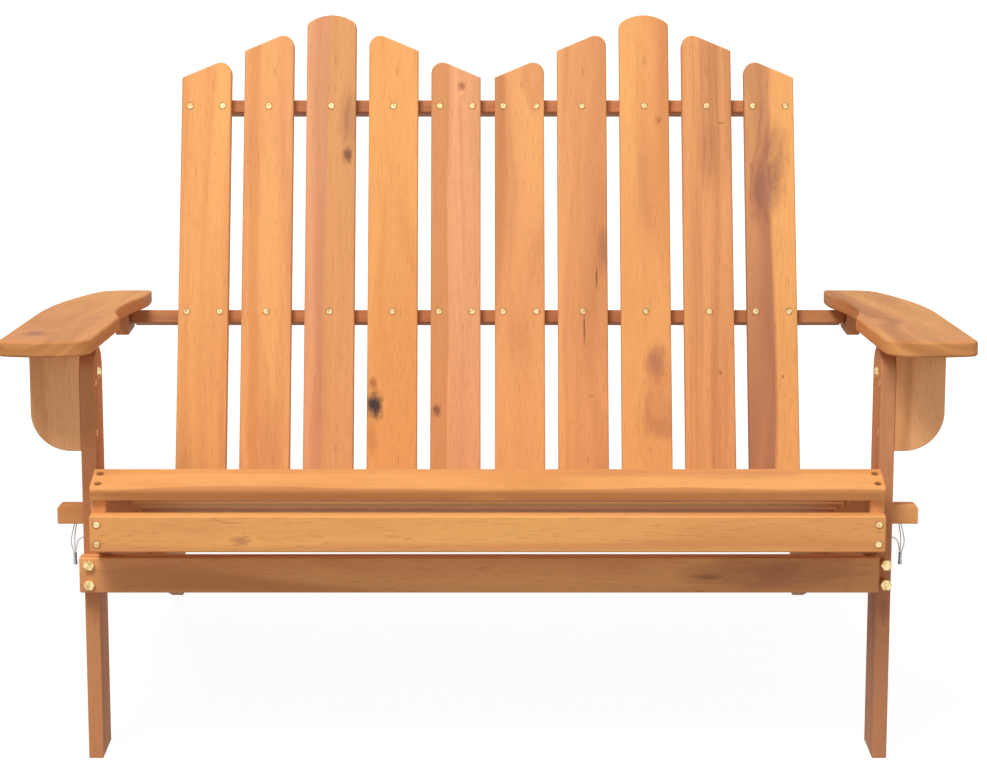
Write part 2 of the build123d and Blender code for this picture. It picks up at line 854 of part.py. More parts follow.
# Front legs, rounded about their pivots
peg_seat = outward(leg_outer, leg_pivot_y, peg_height)
with BuildPart() as front_leg:
    with BuildSketch(Plane.YZ.offset(leg_inner)):
        with Locations((leg_pivot_y, 0)):
            Rectangle(leg_depth, leg_pivot_height, align=(Align.CENTER, Align.MIN))
        with Locations((leg_pivot_y, leg_pivot_height)):
            Circle(leg_depth / 2)
    extrude(amount=leg_thickness)
    fillet(front_leg.faces().filter_by(Axis.X).edges(), small_edge_round)
    bore([leg_pivot_seat], bolt_radius, leg_thickness)
    bore([peg_seat], peg_tenon_radius, leg_thickness)
    sink_screws(bracket_screw_seats, bracket_screw_length)
    bore(stretcher_bolt_seats, bolt_radius, stretcher_bolt_length + rest_gap)
save_pair(front_leg.part, "front_leg")

leg_pivot_seats = both_sides([leg_pivot_seat])
with BuildPart() as leg_pivot_bolts:
    add_shanks(leg_pivot_seats, leg_pivot_grip + rest_gap + nut_height)
    add_domes(leg_pivot_seats)
    nut_seat = outward(front_cleat_outer + rest_gap, leg_pivot_y, leg_pivot_height)
    add_nuts(both_sides([nut_seat]))
save(leg_pivot_bolts.part, "leg_pivot_bolts")

# Board across the legs' front faces: it runs past the left leg and stops short on the right one
stretcher_length = stretcher_left + stretcher_right
with BuildPart() as front_stretcher:
    with BuildSketch(profile_plane(-stretcher_left, stretcher_front, stretcher_bottom, 0)):
        Rectangle(stretcher_thickness, stretcher_height, align=(Align.MIN, Align.MIN))
    extrude(amount=stretcher_length)
    fillet(front_stretcher.edges(), board_edge_round)
    bore(stretcher_bolt_seats, bolt_radius, stretcher_thickness)
save(front_stretcher.part, "front_stretcher")

with BuildPart() as stretcher_bolts:
    add_shanks(stretcher_bolt_seats, stretcher_bolt_length)
    add_hex_heads(stretcher_bolt_seats)
save(stretcher_bolts.part, "stretcher_bolts")

# Quarter-round brackets on the legs' outer faces, under the arms
with BuildPart() as arm_bracket:
    with BuildSketch(forward(leg_outer, bracket_front, bracket_bottom)) as bracket_face:
        height = bracket_top - bracket_bottom
        Rectangle(bracket_width, height, align=(Align.MIN, Align.MIN))
        corner = bracket_face.vertices().group_by(Axis.Y)[0].sort_by(Axis.X)[-1]
        fillet(corner, bracket_radius)
    extrude(amount=-stretcher_thickness)
    fillet(arm_bracket.faces().filter_by(Axis.Y).edges(), small_edge_round)
    pilot_screws(bracket_screw_seats, bracket_screw_length)
save_pair(arm_bracket.part, "arm_bracket")

with BuildPart() as bracket_screws:
    add_screws(both_sides(bracket_screw_seats), bracket_screw_length)
save(bracket_screws.part, "bracket_screws")

# Pegs that lock the legs: a handle with a round tenon through the leg
with BuildPart() as locking_peg:
    handle_start = leg_outer + rest_gap
    with BuildSketch(Plane.YZ.offset(handle_start)):
        with Locations((leg_pivot_y, peg_height)):
            Rectangle(peg_handle_depth, peg_handle_height)
    extrude(amount=peg_handle_length)
    outer_end = locking_peg.faces().sort_by(Axis.X)[-1]
    chamfer(outer_end.edges().sort_by(Axis.Z)[-1], peg_corner)
    fillet(locking_peg.edges(), small_edge_round)
    with Locations(outward(handle_start, leg_pivot_y, peg_height)):
        Cylinder(
            peg_tenon_radius,
            handle_start - stringer_outer - peg_end_gap,
            align=(Align.CENTER, Align.CENTER, Align.MAX),
        )
save_pair(locking_peg.part, "locking_peg")

# Cords that keep the pegs: one strand from the leg and a loop of two from the peg, in a ferrule.
# Their points are distances outward, rearward and up from where the peg enters the leg.
cord_routes = [
    [(0.3, 0.0, -31.5), (8.5, -0.6, -33.5), (14.8, -0.8, -39.5), (16.25, -0.55, -54.1)],
    [(16.3, -1.7, -13.3), (20.7, -2.1, -28.0), (22.5, -1.8, -43.0), (18.15, -0.55, -54.1)],
    [(14.1, 1.7, -13.3), (17.1, 2.3, -26.5), (18.1, 2.0, -40.0), (17.2, 1.1, -54.1)],
]
run_share = 0.45


def corner_radii(route):
    """The largest radii that the runs beside each corner of a route leave room for."""
    radii = []
    for before, at, after in zip(route, route[1:], route[2:]):
        first = Vector(*at) - Vector(*before)
        second = Vector(*after) - Vector(*at)
        half_turn = math.radians(first.get_angle(second) / 2)
        radii.append(run_share * min(first.length, second.length) / math.tan(half_turn))
    return radii


with BuildPart() as peg_cord:
    for points in cord_routes:
        route = [(leg_outer + out, leg_pivot_y + back, peg_height + up) for out, back, up in points]
        radii = corner_radii(route)
        with BuildLine() as path:
            FilletPolyline(*route, radius=radii)
        with BuildSketch(Plane(origin=path.line @ 0, z_dir=path.line % 0)):
            Circle(cord_diameter / 2)
        sweep(path=path.line)
        length = round(path.wire().length, 1)
        print("cord run", length, "radii", [round(radius, 1) for radius in radii])
save_pair(peg_cord.part, "peg_cord")
cord_section = math.pi * cord_diameter**2 / 4
print("cord volume over section", round(peg_cord.part.volume / cord_section, 1))

ferrule_top = peg_height - ferrule_drop
with BuildPart() as cord_ferrule:
    with Locations((leg_outer + ferrule_out, leg_pivot_y, ferrule_top)):
        Cylinder(ferrule_radius, ferrule_length, align=(Align.CENTER, Align.CENTER, Align.MAX))
    with Locations((leg_outer + ferrule_out, leg_pivot_y, ferrule_top - ferrule_length)):
        Sphere(ferrule_ball_radius)
save_pair(cord_ferrule.part, "cord_ferrule")
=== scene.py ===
"""Folding two-seat adirondack loveseat of oiled acacia: finishes, cords, light and camera."""

import logging
import math
from dataclasses import dataclass
from enum import Enum

import bmesh
import bpy
import numpy as np
from mathutils import Matrix, Vector


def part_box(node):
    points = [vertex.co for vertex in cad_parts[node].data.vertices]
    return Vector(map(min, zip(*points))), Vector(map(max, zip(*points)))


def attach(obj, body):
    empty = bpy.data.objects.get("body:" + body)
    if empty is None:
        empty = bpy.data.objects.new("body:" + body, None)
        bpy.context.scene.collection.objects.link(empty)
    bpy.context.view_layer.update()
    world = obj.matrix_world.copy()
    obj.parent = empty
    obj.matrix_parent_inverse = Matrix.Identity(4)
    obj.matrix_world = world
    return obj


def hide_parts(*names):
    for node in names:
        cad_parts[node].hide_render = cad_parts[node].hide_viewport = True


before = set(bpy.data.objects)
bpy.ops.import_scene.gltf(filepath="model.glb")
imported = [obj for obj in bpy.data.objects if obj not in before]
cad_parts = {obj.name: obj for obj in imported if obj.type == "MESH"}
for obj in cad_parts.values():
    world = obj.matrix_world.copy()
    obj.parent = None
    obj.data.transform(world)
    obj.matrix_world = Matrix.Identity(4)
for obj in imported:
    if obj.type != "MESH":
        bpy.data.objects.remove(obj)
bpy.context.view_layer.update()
LOG = logging.getLogger("loveseat")

BACK_LEAN = math.radians(17.6)
SEAT_SLOPE = math.radians(21.1)
NOSE_TILT = math.radians(15.0)
ARM_DROP = math.radians(5.0)
SIDES = {"left": -1.0, "right": 1.0}
MM_PER_METRE = 1000.0
MERGE_DISTANCE = 1e-7

Point = tuple[float, float, float]
Material = bpy.types.Material
Socket = bpy.types.NodeSocket


class Lay(Enum):
    """How a board lies: the way its face's width runs, and the way its grain runs."""

    BACK = ((1.0, 0.0, 0.0), (0.0, math.sin(BACK_LEAN), math.cos(BACK_LEAN)))
    UPRIGHT = ((1.0, 0.0, 0.0), (0.0, 0.0, 1.0))
    CROSS = ((0.0, 0.0, 1.0), (1.0, 0.0, 0.0))
    SEAT = ((0.0, math.cos(SEAT_SLOPE), -math.sin(SEAT_SLOPE)), (1.0, 0.0, 0.0))
    NOSE = ((0.0, math.cos(NOSE_TILT), math.sin(NOSE_TILT)), (1.0, 0.0, 0.0))
    ARM = ((1.0, 0.0, 0.0), (0.0, math.cos(ARM_DROP), -math.sin(ARM_DROP)))
    STRINGER = (
        (0.0, math.sin(SEAT_SLOPE), math.cos(SEAT_SLOPE)),
        (0.0, math.cos(SEAT_SLOPE), -math.sin(SEAT_SLOPE)),
    )
    REARWARD = ((0.0, 0.0, 1.0), (0.0, 1.0, 0.0))

    def turn(self) -> Point:
        """Find the turn that lays a board this way.

        Returns:
            Euler angles that bring the board's own axes to these directions: X across its face,
            Y through it and Z along its grain.
        """
        across, grain = (Vector(direction) for direction in self.value)
        through = grain.cross(across)
        return tuple(Matrix((across, through, grain)).transposed().to_euler("XYZ"))


class Tone(Enum):
    """Tones of the boards, as light, middle and dark hex colours. Most are heartwood tones; STRAW is
    lightened as painted light, TAWNY is darkened partly as painted shade, and UMBER is darker partly as
    painted shade.
    """

    GOLDEN = ("F4B36C", "EBA566", "D58E57")
    AMBER = ("F0AD6C", "E7A269", "CB8756")
    ROSY = ("EFAD7A", "E4A172", "C88661")
    SIENNA = ("E29F68", "D4905F", "B57650")
    RUSSET = ("DE9E67", "CF8F62", "AC7152")
    HONEY = ("F3B067", "EAA463", "D28A4A")
    TAWNY = ("E2A25C", "D48F57", "B27642")
    STRAW = ("FFC186", "F6B47C", "D89660")
    UMBER = ("CC8A58", "C07F51", "A06A46")


def linear(text: str) -> tuple[float, float, float, float]:
    """Turn an sRGB hex colour into the linear colour that shaders take.

    The sRGB curve is a straight line near black and a power of the shifted value above it.

    Args:
        text: Six hex digits.

    Returns:
        Linear red, green, blue and an alpha of one.
    """
    parts = [int(text[at : at + 2], 16) / 255 for at in (0, 2, 4)]
    rgb = [c / 12.92 if c <= 0.04045 else ((c + 0.055) / 1.055) ** 2.4 for c in parts]
    return (rgb[0], rgb[1], rgb[2], 1.0)


class Finish:
    """The nodes of a material or a world, added one at a time with their settings and links."""

    def __init__(self, owner: Material | bpy.types.World) -> None:
        """Start with an empty node tree.

        Args:
            owner: The material or world that the tree belongs to.
        """
        owner.use_nodes = True
        self.owner = owner
        self.tree = owner.node_tree
        self.tree.nodes.clear()

    def add(
        self, kind: str, inputs: dict[str | int, object] | None = None, out: int | str = 0,
        **settings: object,
    ) -> Socket | None:
        """Add one node.

        Args:
            kind: The node's type.
            inputs: Sockets by name or number, each with a value or another node's output.
            out: The output to hand back.
            **settings: The node's own properties, and stops for a colour ramp.

        Returns:
            The chosen output socket, or None for a node without outputs.
        """
        node = self.tree.nodes.new(kind)
        for place, (position, colour) in enumerate(settings.pop("stops", ())):
            ramp = node.color_ramp.elements
            stop = ramp[place] if place < len(ramp) else ramp.new(position)
            stop.position, stop.color = position, colour
        for key, value in settings.items():
            setattr(node, key, value)
        for key, value in (inputs or {}).items():
            if isinstance(value, Socket):
                self.tree.links.new(value, node.inputs[key])
            else:
                node.inputs[key].default_value = value
        return node.outputs[out] if len(node.outputs) else None


def middle_of(node: str) -> Vector:
    """The middle of a CAD node's box, in metres."""
    low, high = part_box(node)
    return (low + high) / 2


@dataclass(frozen=True)
class Knot:
    """A knot or stain on a board's face.

    across and along give its place from the board's middle and radius its size, in metres.
    stretch is how much longer it is than wide, dark how far its heart goes towards colour, bend
    how far the growth rings bulge round it in metres, fade how wide its edge is in radii, and
    streaky how much the rings break it up.
    """

    across: float
    along: float
    radius: float
    stretch: float
    colour: str
    dark: float
    bend: float
    fade: float = 1.0
    streaky: float = 0.0


@dataclass(frozen=True)
class Seam:
    """A streak of another tone from one line across the board to another, in metres.

    strength is how far it goes towards colour, and soft how wide each edge's half is.
    """

    start: float
    end: float
    colour: str
    strength: float
    soft: float


@dataclass(frozen=True)
class Grain:
    """The patterns of one board, as outputs of its material's nodes.

    across is the place across the board with the rings' waver, in metres. hearts says how much
    each knot shows, and the others are noises between zero and one.
    """

    across: Socket
    bands: Socket
    rings: Socket
    fibres: Socket
    pores: Socket
    hearts: tuple[Socket, ...]


@dataclass(frozen=True)
class OiledAcacia:
    """Planed acacia boards under clear oil.

    The oil lets the light into the wood, so the colour is warm and deep and the gloss low and
    broad. Streaks follow the growth rings, pores are short dark dashes along the grain.

    A board has its lay and tone, a seed that shifts its patterns, the pith's place from its
    middle in metres, the contrast of its streaks, and its knots and seams.
    """

    lay: Lay
    tone: Tone
    seed: float
    pith: tuple[float, float]
    contrast: float = 1.0
    knots: tuple[Knot, ...] = ()
    seams: tuple[Seam, ...] = ()

    # Growth rings and the bands that they form: across, and along before they change, in metres.
    ring_pitch = 0.006
    ring_run = 0.35
    ring_detail = 4.0
    band_pitch = 0.022
    band_run = 0.9
    band_detail = 2.0
    streak_roughness = 0.55
    streak_seed_step = 3.7
    # The rings waver by about this much to each side. A noise seldom leaves the middle half of
    # its range, so four times its distance from the middle is seldom more than one.
    waver = 0.009
    waver_gain = 4
    wavers_per_metre = (9.0, 9.0, 1.6)
    # Width and length of fibres and pores, drawn wider than real ones, so that they show.
    fibre_size = (0.0009, 0.05)
    pore_size = (0.0013, 0.022)
    pore_shift = 5.3
    soft_detail = 2.0
    # Where each noise starts to show and is full, and how far it then darkens the board.
    ring_shows = (0.50, 0.78, 0.62)
    fibre_shows = (0.42, 0.75, 0.30)
    pore_shows = (0.60, 0.74, 0.42)
    pore_colour = "9C5B3A"
    # The band noise on each side of its middle over which the tone goes to light and to dark.
    light_spread = 0.16
    dark_spread_share = 1.25
    # How far a knot's heart and the rings' bulge reach, and how uneven both are, in its radii.
    heart_reach = 0.95
    bulge_reach = (0.5, 3.6)
    edge_depth = 1.3
    edge_scale = 1.5
    edge_detail = 3.0
    # The ring noise over which a streaky knot goes from faint to full.
    knot_breaks = (0.35, 0.65)
    relief_strength = 0.16
    relief_depth = 0.0006
    oil_roughness = 0.58
    roughness_spread = (-0.06, 0.12)
    oil_ior = 1.47
    oil_specular = 0.15

    def ring_places(self, made: Finish, board: Socket) -> tuple[Socket, Socket]:
        """Measure where a point lies on the rings, which waver slowly along the board.

        Args:
            made: The material's nodes.
            board: Metres on the board.

        Returns:
            The point's place across the board and its distance from the pith, in metres.
        """
        split = made.add("ShaderNodeSeparateXYZ", {0: board}).node
        slow = made.add(
            "ShaderNodeMapping",
            {
                "Vector": board, "Location": (self.seed, 0.0, self.seed),
                "Scale": self.wavers_per_metre,
            },
        )
        drift = made.add(
            "ShaderNodeTexNoise",
            {"Vector": slow, "Scale": 1.0, "Detail": self.soft_detail},
            out="Color",
        )
        drift_split = made.add("ShaderNodeSeparateXYZ", {0: drift}).node
        most = self.waver_gain * self.waver
        math_node = "ShaderNodeMath"
        places = []
        for axis in "XY":
            centred = made.add(math_node, {0: drift_split.outputs[axis], 1: -0.5}, operation="ADD")
            push = made.add(math_node, {0: centred, 1: most}, operation="MULTIPLY")
            places.append(made.add(math_node, {0: split.outputs[axis], 1: push}, operation="ADD"))
        across, through = places
        point = made.add("ShaderNodeCombineXYZ", {"X": across, "Y": through, "Z": 0.0})
        from_pith = made.add(
            "ShaderNodeVectorMath", {0: point, 1: (*self.pith, 0.0)}, out="Value",
            operation="DISTANCE",
        )
        return across, from_pith

    def knot_marks(self, made: Finish, board: Socket, knot: Knot) -> tuple[Socket, Socket]:
        """Draw a knot: its dark heart, and the bulge of the rings round it.

        The distance from the knot's middle, one at the rim of its ellipse, is the length of the
        place over the ellipse's half width and half length. A coarse noise makes it uneven.

        Args:
            made: The material's nodes.
            board: Metres on the board.
            knot: The knot.

        Returns:
            How much the heart shows, and how far the bulge pushes the rings, in metres.
        """
        spot = made.add(
            "ShaderNodeMapping",
            {
                "Vector": board,
                "Location": (knot.across, 0.0, knot.along),
                "Scale": (knot.radius, 1.0, knot.radius * knot.stretch),
            },
            vector_type="TEXTURE",
        )
        flat = made.add(
            "ShaderNodeVectorMath", {0: spot, 1: (1.0, 0.0, 1.0)}, operation="MULTIPLY"
        )
        rough = made.add(
            "ShaderNodeTexNoise",
            {"Vector": flat, "Scale": self.edge_scale, "Detail": self.edge_detail},
            out="Fac",
        )
        distance = made.add("ShaderNodeVectorMath", {0: flat}, out="Value", operation="LENGTH")
        uneven = made.add(
            "ShaderNodeMath", {0: rough, 1: self.edge_depth, 2: distance}, operation="MULTIPLY_ADD"
        )
        bulge_start, bulge_end = self.bulge_reach
        bulge = made.add(
            "ShaderNodeMapRange",
            {
                "Value": uneven, "From Min": bulge_start, "From Max": bulge_end,
                "To Min": knot.bend, "To Max": 0.0,
            },
            interpolation_type="SMOOTHERSTEP",
        )
        heart = made.add(
            "ShaderNodeMapRange",
            {
                "Value": uneven, "From Min": self.heart_reach,
                "From Max": self.heart_reach + knot.fade, "To Min": knot.dark, "To Max": 0.0,
            },
            interpolation_type="SMOOTHSTEP",
        )
        return heart, bulge

    def grain(self, made: Finish, board: Socket) -> Grain:
        """Draw the board's patterns.

        Bands and rings are noises over the distance from the pith, which change slowly along the
        board. Fibres and pores are noises stretched along it.

        Args:
            made: The material's nodes.
            board: Metres on the board.

        Returns:
            The patterns.
        """
        across, radius = self.ring_places(made, board)
        hearts = []
        for knot in self.knots:
            heart, bulge = self.knot_marks(made, board, knot)
            radius = made.add("ShaderNodeMath", {0: radius, 1: bulge}, operation="ADD")
            hearts.append(heart)
        along = made.add("ShaderNodeSeparateXYZ", {0: board}, out="Z")
        streaks = []
        for pitch, run, detail in (
            (self.band_pitch, self.band_run, self.band_detail),
            (self.ring_pitch, self.ring_run, self.ring_detail),
        ):
            over, down = (
                made.add("ShaderNodeMath", {0: place, 1: 1 / size}, operation="MULTIPLY")
                for place, size in ((radius, pitch), (along, run))
            )
            where = made.add(
                "ShaderNodeCombineXYZ",
                {"X": over, "Y": self.seed * self.streak_seed_step, "Z": down},
            )
            noise = {
                "Vector": where, "Scale": 1.0, "Detail": detail, "Roughness": self.streak_roughness,
            }
            streaks.append(made.add("ShaderNodeTexNoise", noise, out="Fac"))
        fine = []
        for (width, length), shift in ((self.fibre_size, 0.0), (self.pore_size, self.pore_shift)):
            thin = made.add(
                "ShaderNodeMapping",
                {
                    "Vector": board, "Location": (shift + self.seed, 0.0, shift),
                    "Scale": (1 / width, 1 / width, 1 / length),
                },
            )
            noise = {"Vector": thin, "Scale": 1.0, "Detail": self.soft_detail}
            fine.append(made.add("ShaderNodeTexNoise", noise, out="Fac"))
        return Grain(across, *streaks, *fine, tuple(hearts))

    def seam_share(self, made: Finish, across: Socket, seam: Seam) -> Socket:
        """Draw a seam as a step up at its start times a step down at its end.

        Args:
            made: The material's nodes.
            across: The place across the board.
            seam: The seam.

        Returns:
            How much the seam shows.
        """
        rise, fall = (
            made.add(
                "ShaderNodeMapRange",
                {
                    "Value": across, "From Min": edge - seam.soft, "From Max": edge + seam.soft,
                    "To Min": before, "To Max": after,
                },
                interpolation_type="SMOOTHSTEP",
            )
            for edge, before, after in ((seam.start, 0.0, 1.0), (seam.end, seam.strength, 0.0))
        )
        return made.add("ShaderNodeMath", {0: rise, 1: fall}, operation="MULTIPLY")

    def colour(self, made: Finish, grain: Grain) -> Socket:
        """Mix the board's colour: its tone along the bands, with the other patterns over it.

        Args:
            made: The material's nodes.
            grain: The board's patterns.

        Returns:
            The colour.
        """
        light, middle, dark = (linear(text) for text in self.tone.value)
        spread = self.light_spread / self.contrast
        colour = made.add(
            "ShaderNodeValToRGB",
            {"Fac": grain.bands},
            stops=(
                (0.5 - spread, light), (0.5, middle), (0.5 + self.dark_spread_share * spread, dark),
            ),
        )
        ring_share, fibre_share, pore_share = (
            made.add(
                "ShaderNodeMapRange",
                {
                    "Value": noise, "From Min": start, "From Max": full,
                    "To Min": 0.0, "To Max": most * gain,
                },
            )
            for noise, (start, full, most), gain in (
                (grain.rings, self.ring_shows, self.contrast),
                (grain.fibres, self.fibre_shows, 1.0),
                (grain.pores, self.pore_shows, 1.0),
            )
        )
        layers = [(ring_share, dark)]
        layers += [
            (self.seam_share(made, grain.across, seam), linear(seam.colour)) for seam in self.seams
        ]
        layers += [(fibre_share, dark), (pore_share, linear(self.pore_colour))]
        break_start, break_end = self.knot_breaks
        for heart, knot in zip(grain.hearts, self.knots):
            breaks = made.add(
                "ShaderNodeMapRange",
                {
                    "Value": grain.rings, "From Min": break_start, "From Max": break_end,
                    "To Min": 1.0 - knot.streaky, "To Max": 1.0,
                },
            )
            broken = made.add("ShaderNodeMath", {0: heart, 1: breaks}, operation="MULTIPLY")
            layers.append((broken, linear(knot.colour)))
        for share, over in layers:
            colour = made.add(
                "ShaderNodeMix", {0: share, 6: colour, 7: over}, out=2, data_type="RGBA"
            )
        return colour

    def paint(self, node: str) -> Material:
        """Make the material of one board.

        Args:
            node: The board's CAD node, whose middle the patterns are measured from.

        Returns:
            The material.
        """
        made = Finish(bpy.data.materials.new(f"acacia_{node}"))
        place = made.add("ShaderNodeTexCoord", out="Object")
        # Metres on the board: X across its face, Y through it and Z along its grain.
        board = made.add(
            "ShaderNodeMapping",
            {"Vector": place, "Location": tuple(middle_of(node)), "Rotation": self.lay.turn()},
            vector_type="TEXTURE",
        )
        grain = self.grain(made, board)
        height = made.add(
            "ShaderNodeMath", {0: grain.fibres, 1: grain.pores, 2: grain.rings},
            operation="MULTIPLY_ADD",
        )
        relief = made.add(
            "ShaderNodeBump",
            {"Strength": self.relief_strength, "Distance": self.relief_depth, "Height": height},
        )
        smoother, rougher = self.roughness_spread
        gloss = made.add(
            "ShaderNodeMapRange",
            {
                "Value": grain.fibres, "To Min": self.oil_roughness + smoother,
                "To Max": self.oil_roughness + rougher,
            },
        )
        surface = made.add(
            "ShaderNodeBsdfPrincipled",
            {
                "Base Color": self.colour(made, grain), "Roughness": gloss, "IOR": self.oil_ior,
                "Specular IOR Level": self.oil_specular, "Normal": relief,
            },
        )
        made.add("ShaderNodeOutputMaterial", {"Surface": surface})
        return made.owner


@dataclass(frozen=True)
class TurnedBrass:
    """Turned and pressed brass, lightly scratched: a yellow metal that gleams unevenly.

    Pressing leaves shallow waves, so that the reflections break up; handling leaves cloudy
    patches. Scratches are drawn wider than real ones, so that they show.
    """

    name: str
    bright: str = "F6E2AC"
    dull: str = "D0A765"
    roughness: float = 0.24
    metallic: float = 1.0

    scratch_width = 0.0008
    wave_width = 0.0045
    wave_depth = 0.00016
    noise_detail = 2.0
    roughness_spread = (-0.08, 0.12)
    bright_until = 0.40
    dull_from = 0.66

    def paint(self) -> Material:
        """Make the material.

        Returns:
            The material.
        """
        made = Finish(bpy.data.materials.new(self.name))
        place = made.add("ShaderNodeTexCoord", out="Object")
        scratches, waves = (
            made.add(
                "ShaderNodeTexNoise",
                {"Vector": place, "Scale": 1 / width, "Detail": self.noise_detail},
                out="Fac",
            )
            for width in (self.scratch_width, self.wave_width)
        )
        smoother, rougher = self.roughness_spread
        gleam = made.add(
            "ShaderNodeMapRange",
            {
                "Value": scratches, "To Min": self.roughness + smoother,
                "To Max": self.roughness + rougher,
            },
        )
        tone = made.add(
            "ShaderNodeValToRGB",
            {"Fac": waves},
            stops=((self.bright_until, linear(self.bright)), (self.dull_from, linear(self.dull))),
        )
        relief = made.add(
            "ShaderNodeBump", {"Strength": 1.0, "Distance": self.wave_depth, "Height": waves}
        )
        surface = made.add(
            "ShaderNodeBsdfPrincipled",
            {"Base Color": tone, "Metallic": self.metallic, "Roughness": gleam, "Normal": relief},
        )
        made.add("ShaderNodeOutputMaterial", {"Surface": surface})
        return made.owner


@dataclass(frozen=True)
class TwistedWire:
    """Thin galvanised wire cord in a clear sleeve: pale grey with slanting light and dark lines.

    The sleeve hides the metal's gleam, so the cord shines softly like plastic.
    """

    name: str
    light: str = "FAFAF8"
    dark: str = "CFD1D3"
    twist_pitch: float = 0.0022

    slant = (0.5, 0.4, 0.0)
    unevenness = 1.5
    dark_until = 0.2
    light_from = 0.6
    strand_strength = 0.4
    strand_depth = 0.0003
    sleeve_roughness = 0.35

    def paint(self) -> Material:
        """Make the material.

        Returns:
            The material.
        """
        made = Finish(bpy.data.materials.new(self.name))
        place = made.add("ShaderNodeTexCoord", out="Object")
        twist = made.add("ShaderNodeMapping", {"Vector": place, "Rotation": self.slant})
        # The wave's lines repeat about every 1 / (pi * scale) metres.
        lines = made.add(
            "ShaderNodeTexWave",
            {
                "Vector": twist, "Scale": 1 / (math.pi * self.twist_pitch),
                "Distortion": self.unevenness,
            },
            out="Fac",
            bands_direction="Z",
        )
        tone = made.add(
            "ShaderNodeValToRGB",
            {"Fac": lines},
            stops=((self.dark_until, linear(self.dark)), (self.light_from, linear(self.light))),
        )
        relief = made.add(
            "ShaderNodeBump",
            {"Strength": self.strand_strength, "Distance": self.strand_depth, "Height": lines},
        )
        surface = made.add(
            "ShaderNodeBsdfPrincipled",
            {
                "Base Color": tone, "Metallic": 0.0, "Roughness": self.sleeve_roughness,
                "Normal": relief,
            },
        )
        made.add("ShaderNodeOutputMaterial", {"Surface": surface})
        return made.owner


@dataclass(frozen=True)
class CrimpedFerrule:
    """Pressed zinc ferrule: pale grey metal with a cloudy surface and a soft gleam."""

    name: str
    bright: str = "C4C6C8"
    dull: str = "96989A"
    cloud_width: float = 0.0015

    cloud_detail = 3.0
    dull_until = 0.3
    bright_from = 0.7
    metallic = 0.9
    roughness = 0.42

    def paint(self) -> Material:
        """Make the material.

        Returns:
            The material.
        """
        made = Finish(bpy.data.materials.new(self.name))
        place = made.add("ShaderNodeTexCoord", out="Object")
        clouds = made.add(
            "ShaderNodeTexNoise",
            {"Vector": place, "Scale": 1 / self.cloud_width, "Detail": self.cloud_detail},
            out="Fac",
        )
        tone = made.add(
            "ShaderNodeValToRGB",
            {"Fac": clouds},
            stops=((self.dull_until, linear(self.dull)), (self.bright_from, linear(self.bright))),
        )
        surface = made.add(
            "ShaderNodeBsdfPrincipled",
            {"Base Color": tone, "Metallic": self.metallic, "Roughness": self.roughness},
        )
        made.add("ShaderNodeOutputMaterial", {"Surface": surface})
        return made.owner


def dress(material: Material, *nodes: str) -> None:
    """Give CAD nodes one material.

    Args:
        material: The finish for all their material slots.
        *nodes: The nodes' names.
    """
    for node in nodes:
        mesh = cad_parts[node].data
        mesh.materials.clear()
        mesh.materials.append(material)
        LOG.info("finished %s", node)


def dress_boards(finishes: dict[str, OiledAcacia]) -> None:
    """Give each wooden CAD node its own finish, by the node's name."""
    for node, finish in finishes.items():
        dress(finish.paint(node), node)


def points_of(node: str) -> np.ndarray:
    """Read all points of a CAD node's mesh.

    Args:
        node: The node's name.

    Returns:
        One row of XYZ for each point, in metres.
    """
    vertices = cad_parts[node].data.vertices
    flat = np.empty(3 * len(vertices))
    vertices.foreach_get("co", flat)
    return flat.reshape(-1, 3)


def grid_faces(rows: int, columns: int, closed_along: bool, closed_across: bool) -> np.ndarray:
    """Work out the four-cornered faces of a grid of points.

    Args:
        rows: How many rows of points there are.
        columns: How many points there are in a row.
        closed_along: Whether the last row joins the first.
        closed_across: Whether the last column joins the first.

    Returns:
        One row of four point numbers for each face.
    """
    row, column = np.meshgrid(
        np.arange(rows if closed_along else rows - 1),
        np.arange(columns if closed_across else columns - 1),
        indexing="ij",
    )
    here, below = row * columns, (row + 1) % rows * columns
    after = (column + 1) % columns
    corners = [here + column, here + after, below + after, below + column]
    return np.stack(corners, axis=-1).reshape(-1, 4)


def mesh_piece(
    name: str, points: np.ndarray, faces: np.ndarray, finish: Material, solid: bool
) -> bpy.types.Object:
    """Make a smooth mesh piece.

    Args:
        name: The piece's name.
        points: Its points, the last axis XYZ in metres.
        faces: Four point numbers for each face.
        finish: Its material.
        solid: Whether it is closed, so that its poles are merged and its faces turned outwards.

    Returns:
        The new object, at the origin.
    """
    mesh = bpy.data.meshes.new(name)
    mesh.from_pydata(points.reshape(-1, 3).tolist(), [], faces.tolist())
    if solid:
        shell = bmesh.new()
        shell.from_mesh(mesh)
        bmesh.ops.remove_doubles(shell, verts=shell.verts, dist=MERGE_DISTANCE)
        bmesh.ops.recalc_face_normals(shell, faces=shell.faces)
        shell.to_mesh(mesh)
        shell.free()
    mesh.polygons.foreach_set("use_smooth", np.ones(len(mesh.polygons), bool))
    mesh.materials.append(finish)
    mesh.update()
    piece = bpy.data.objects.new(name, mesh)
    bpy.context.scene.collection.objects.link(piece)
    LOG.info("made %s", name)
    return piece


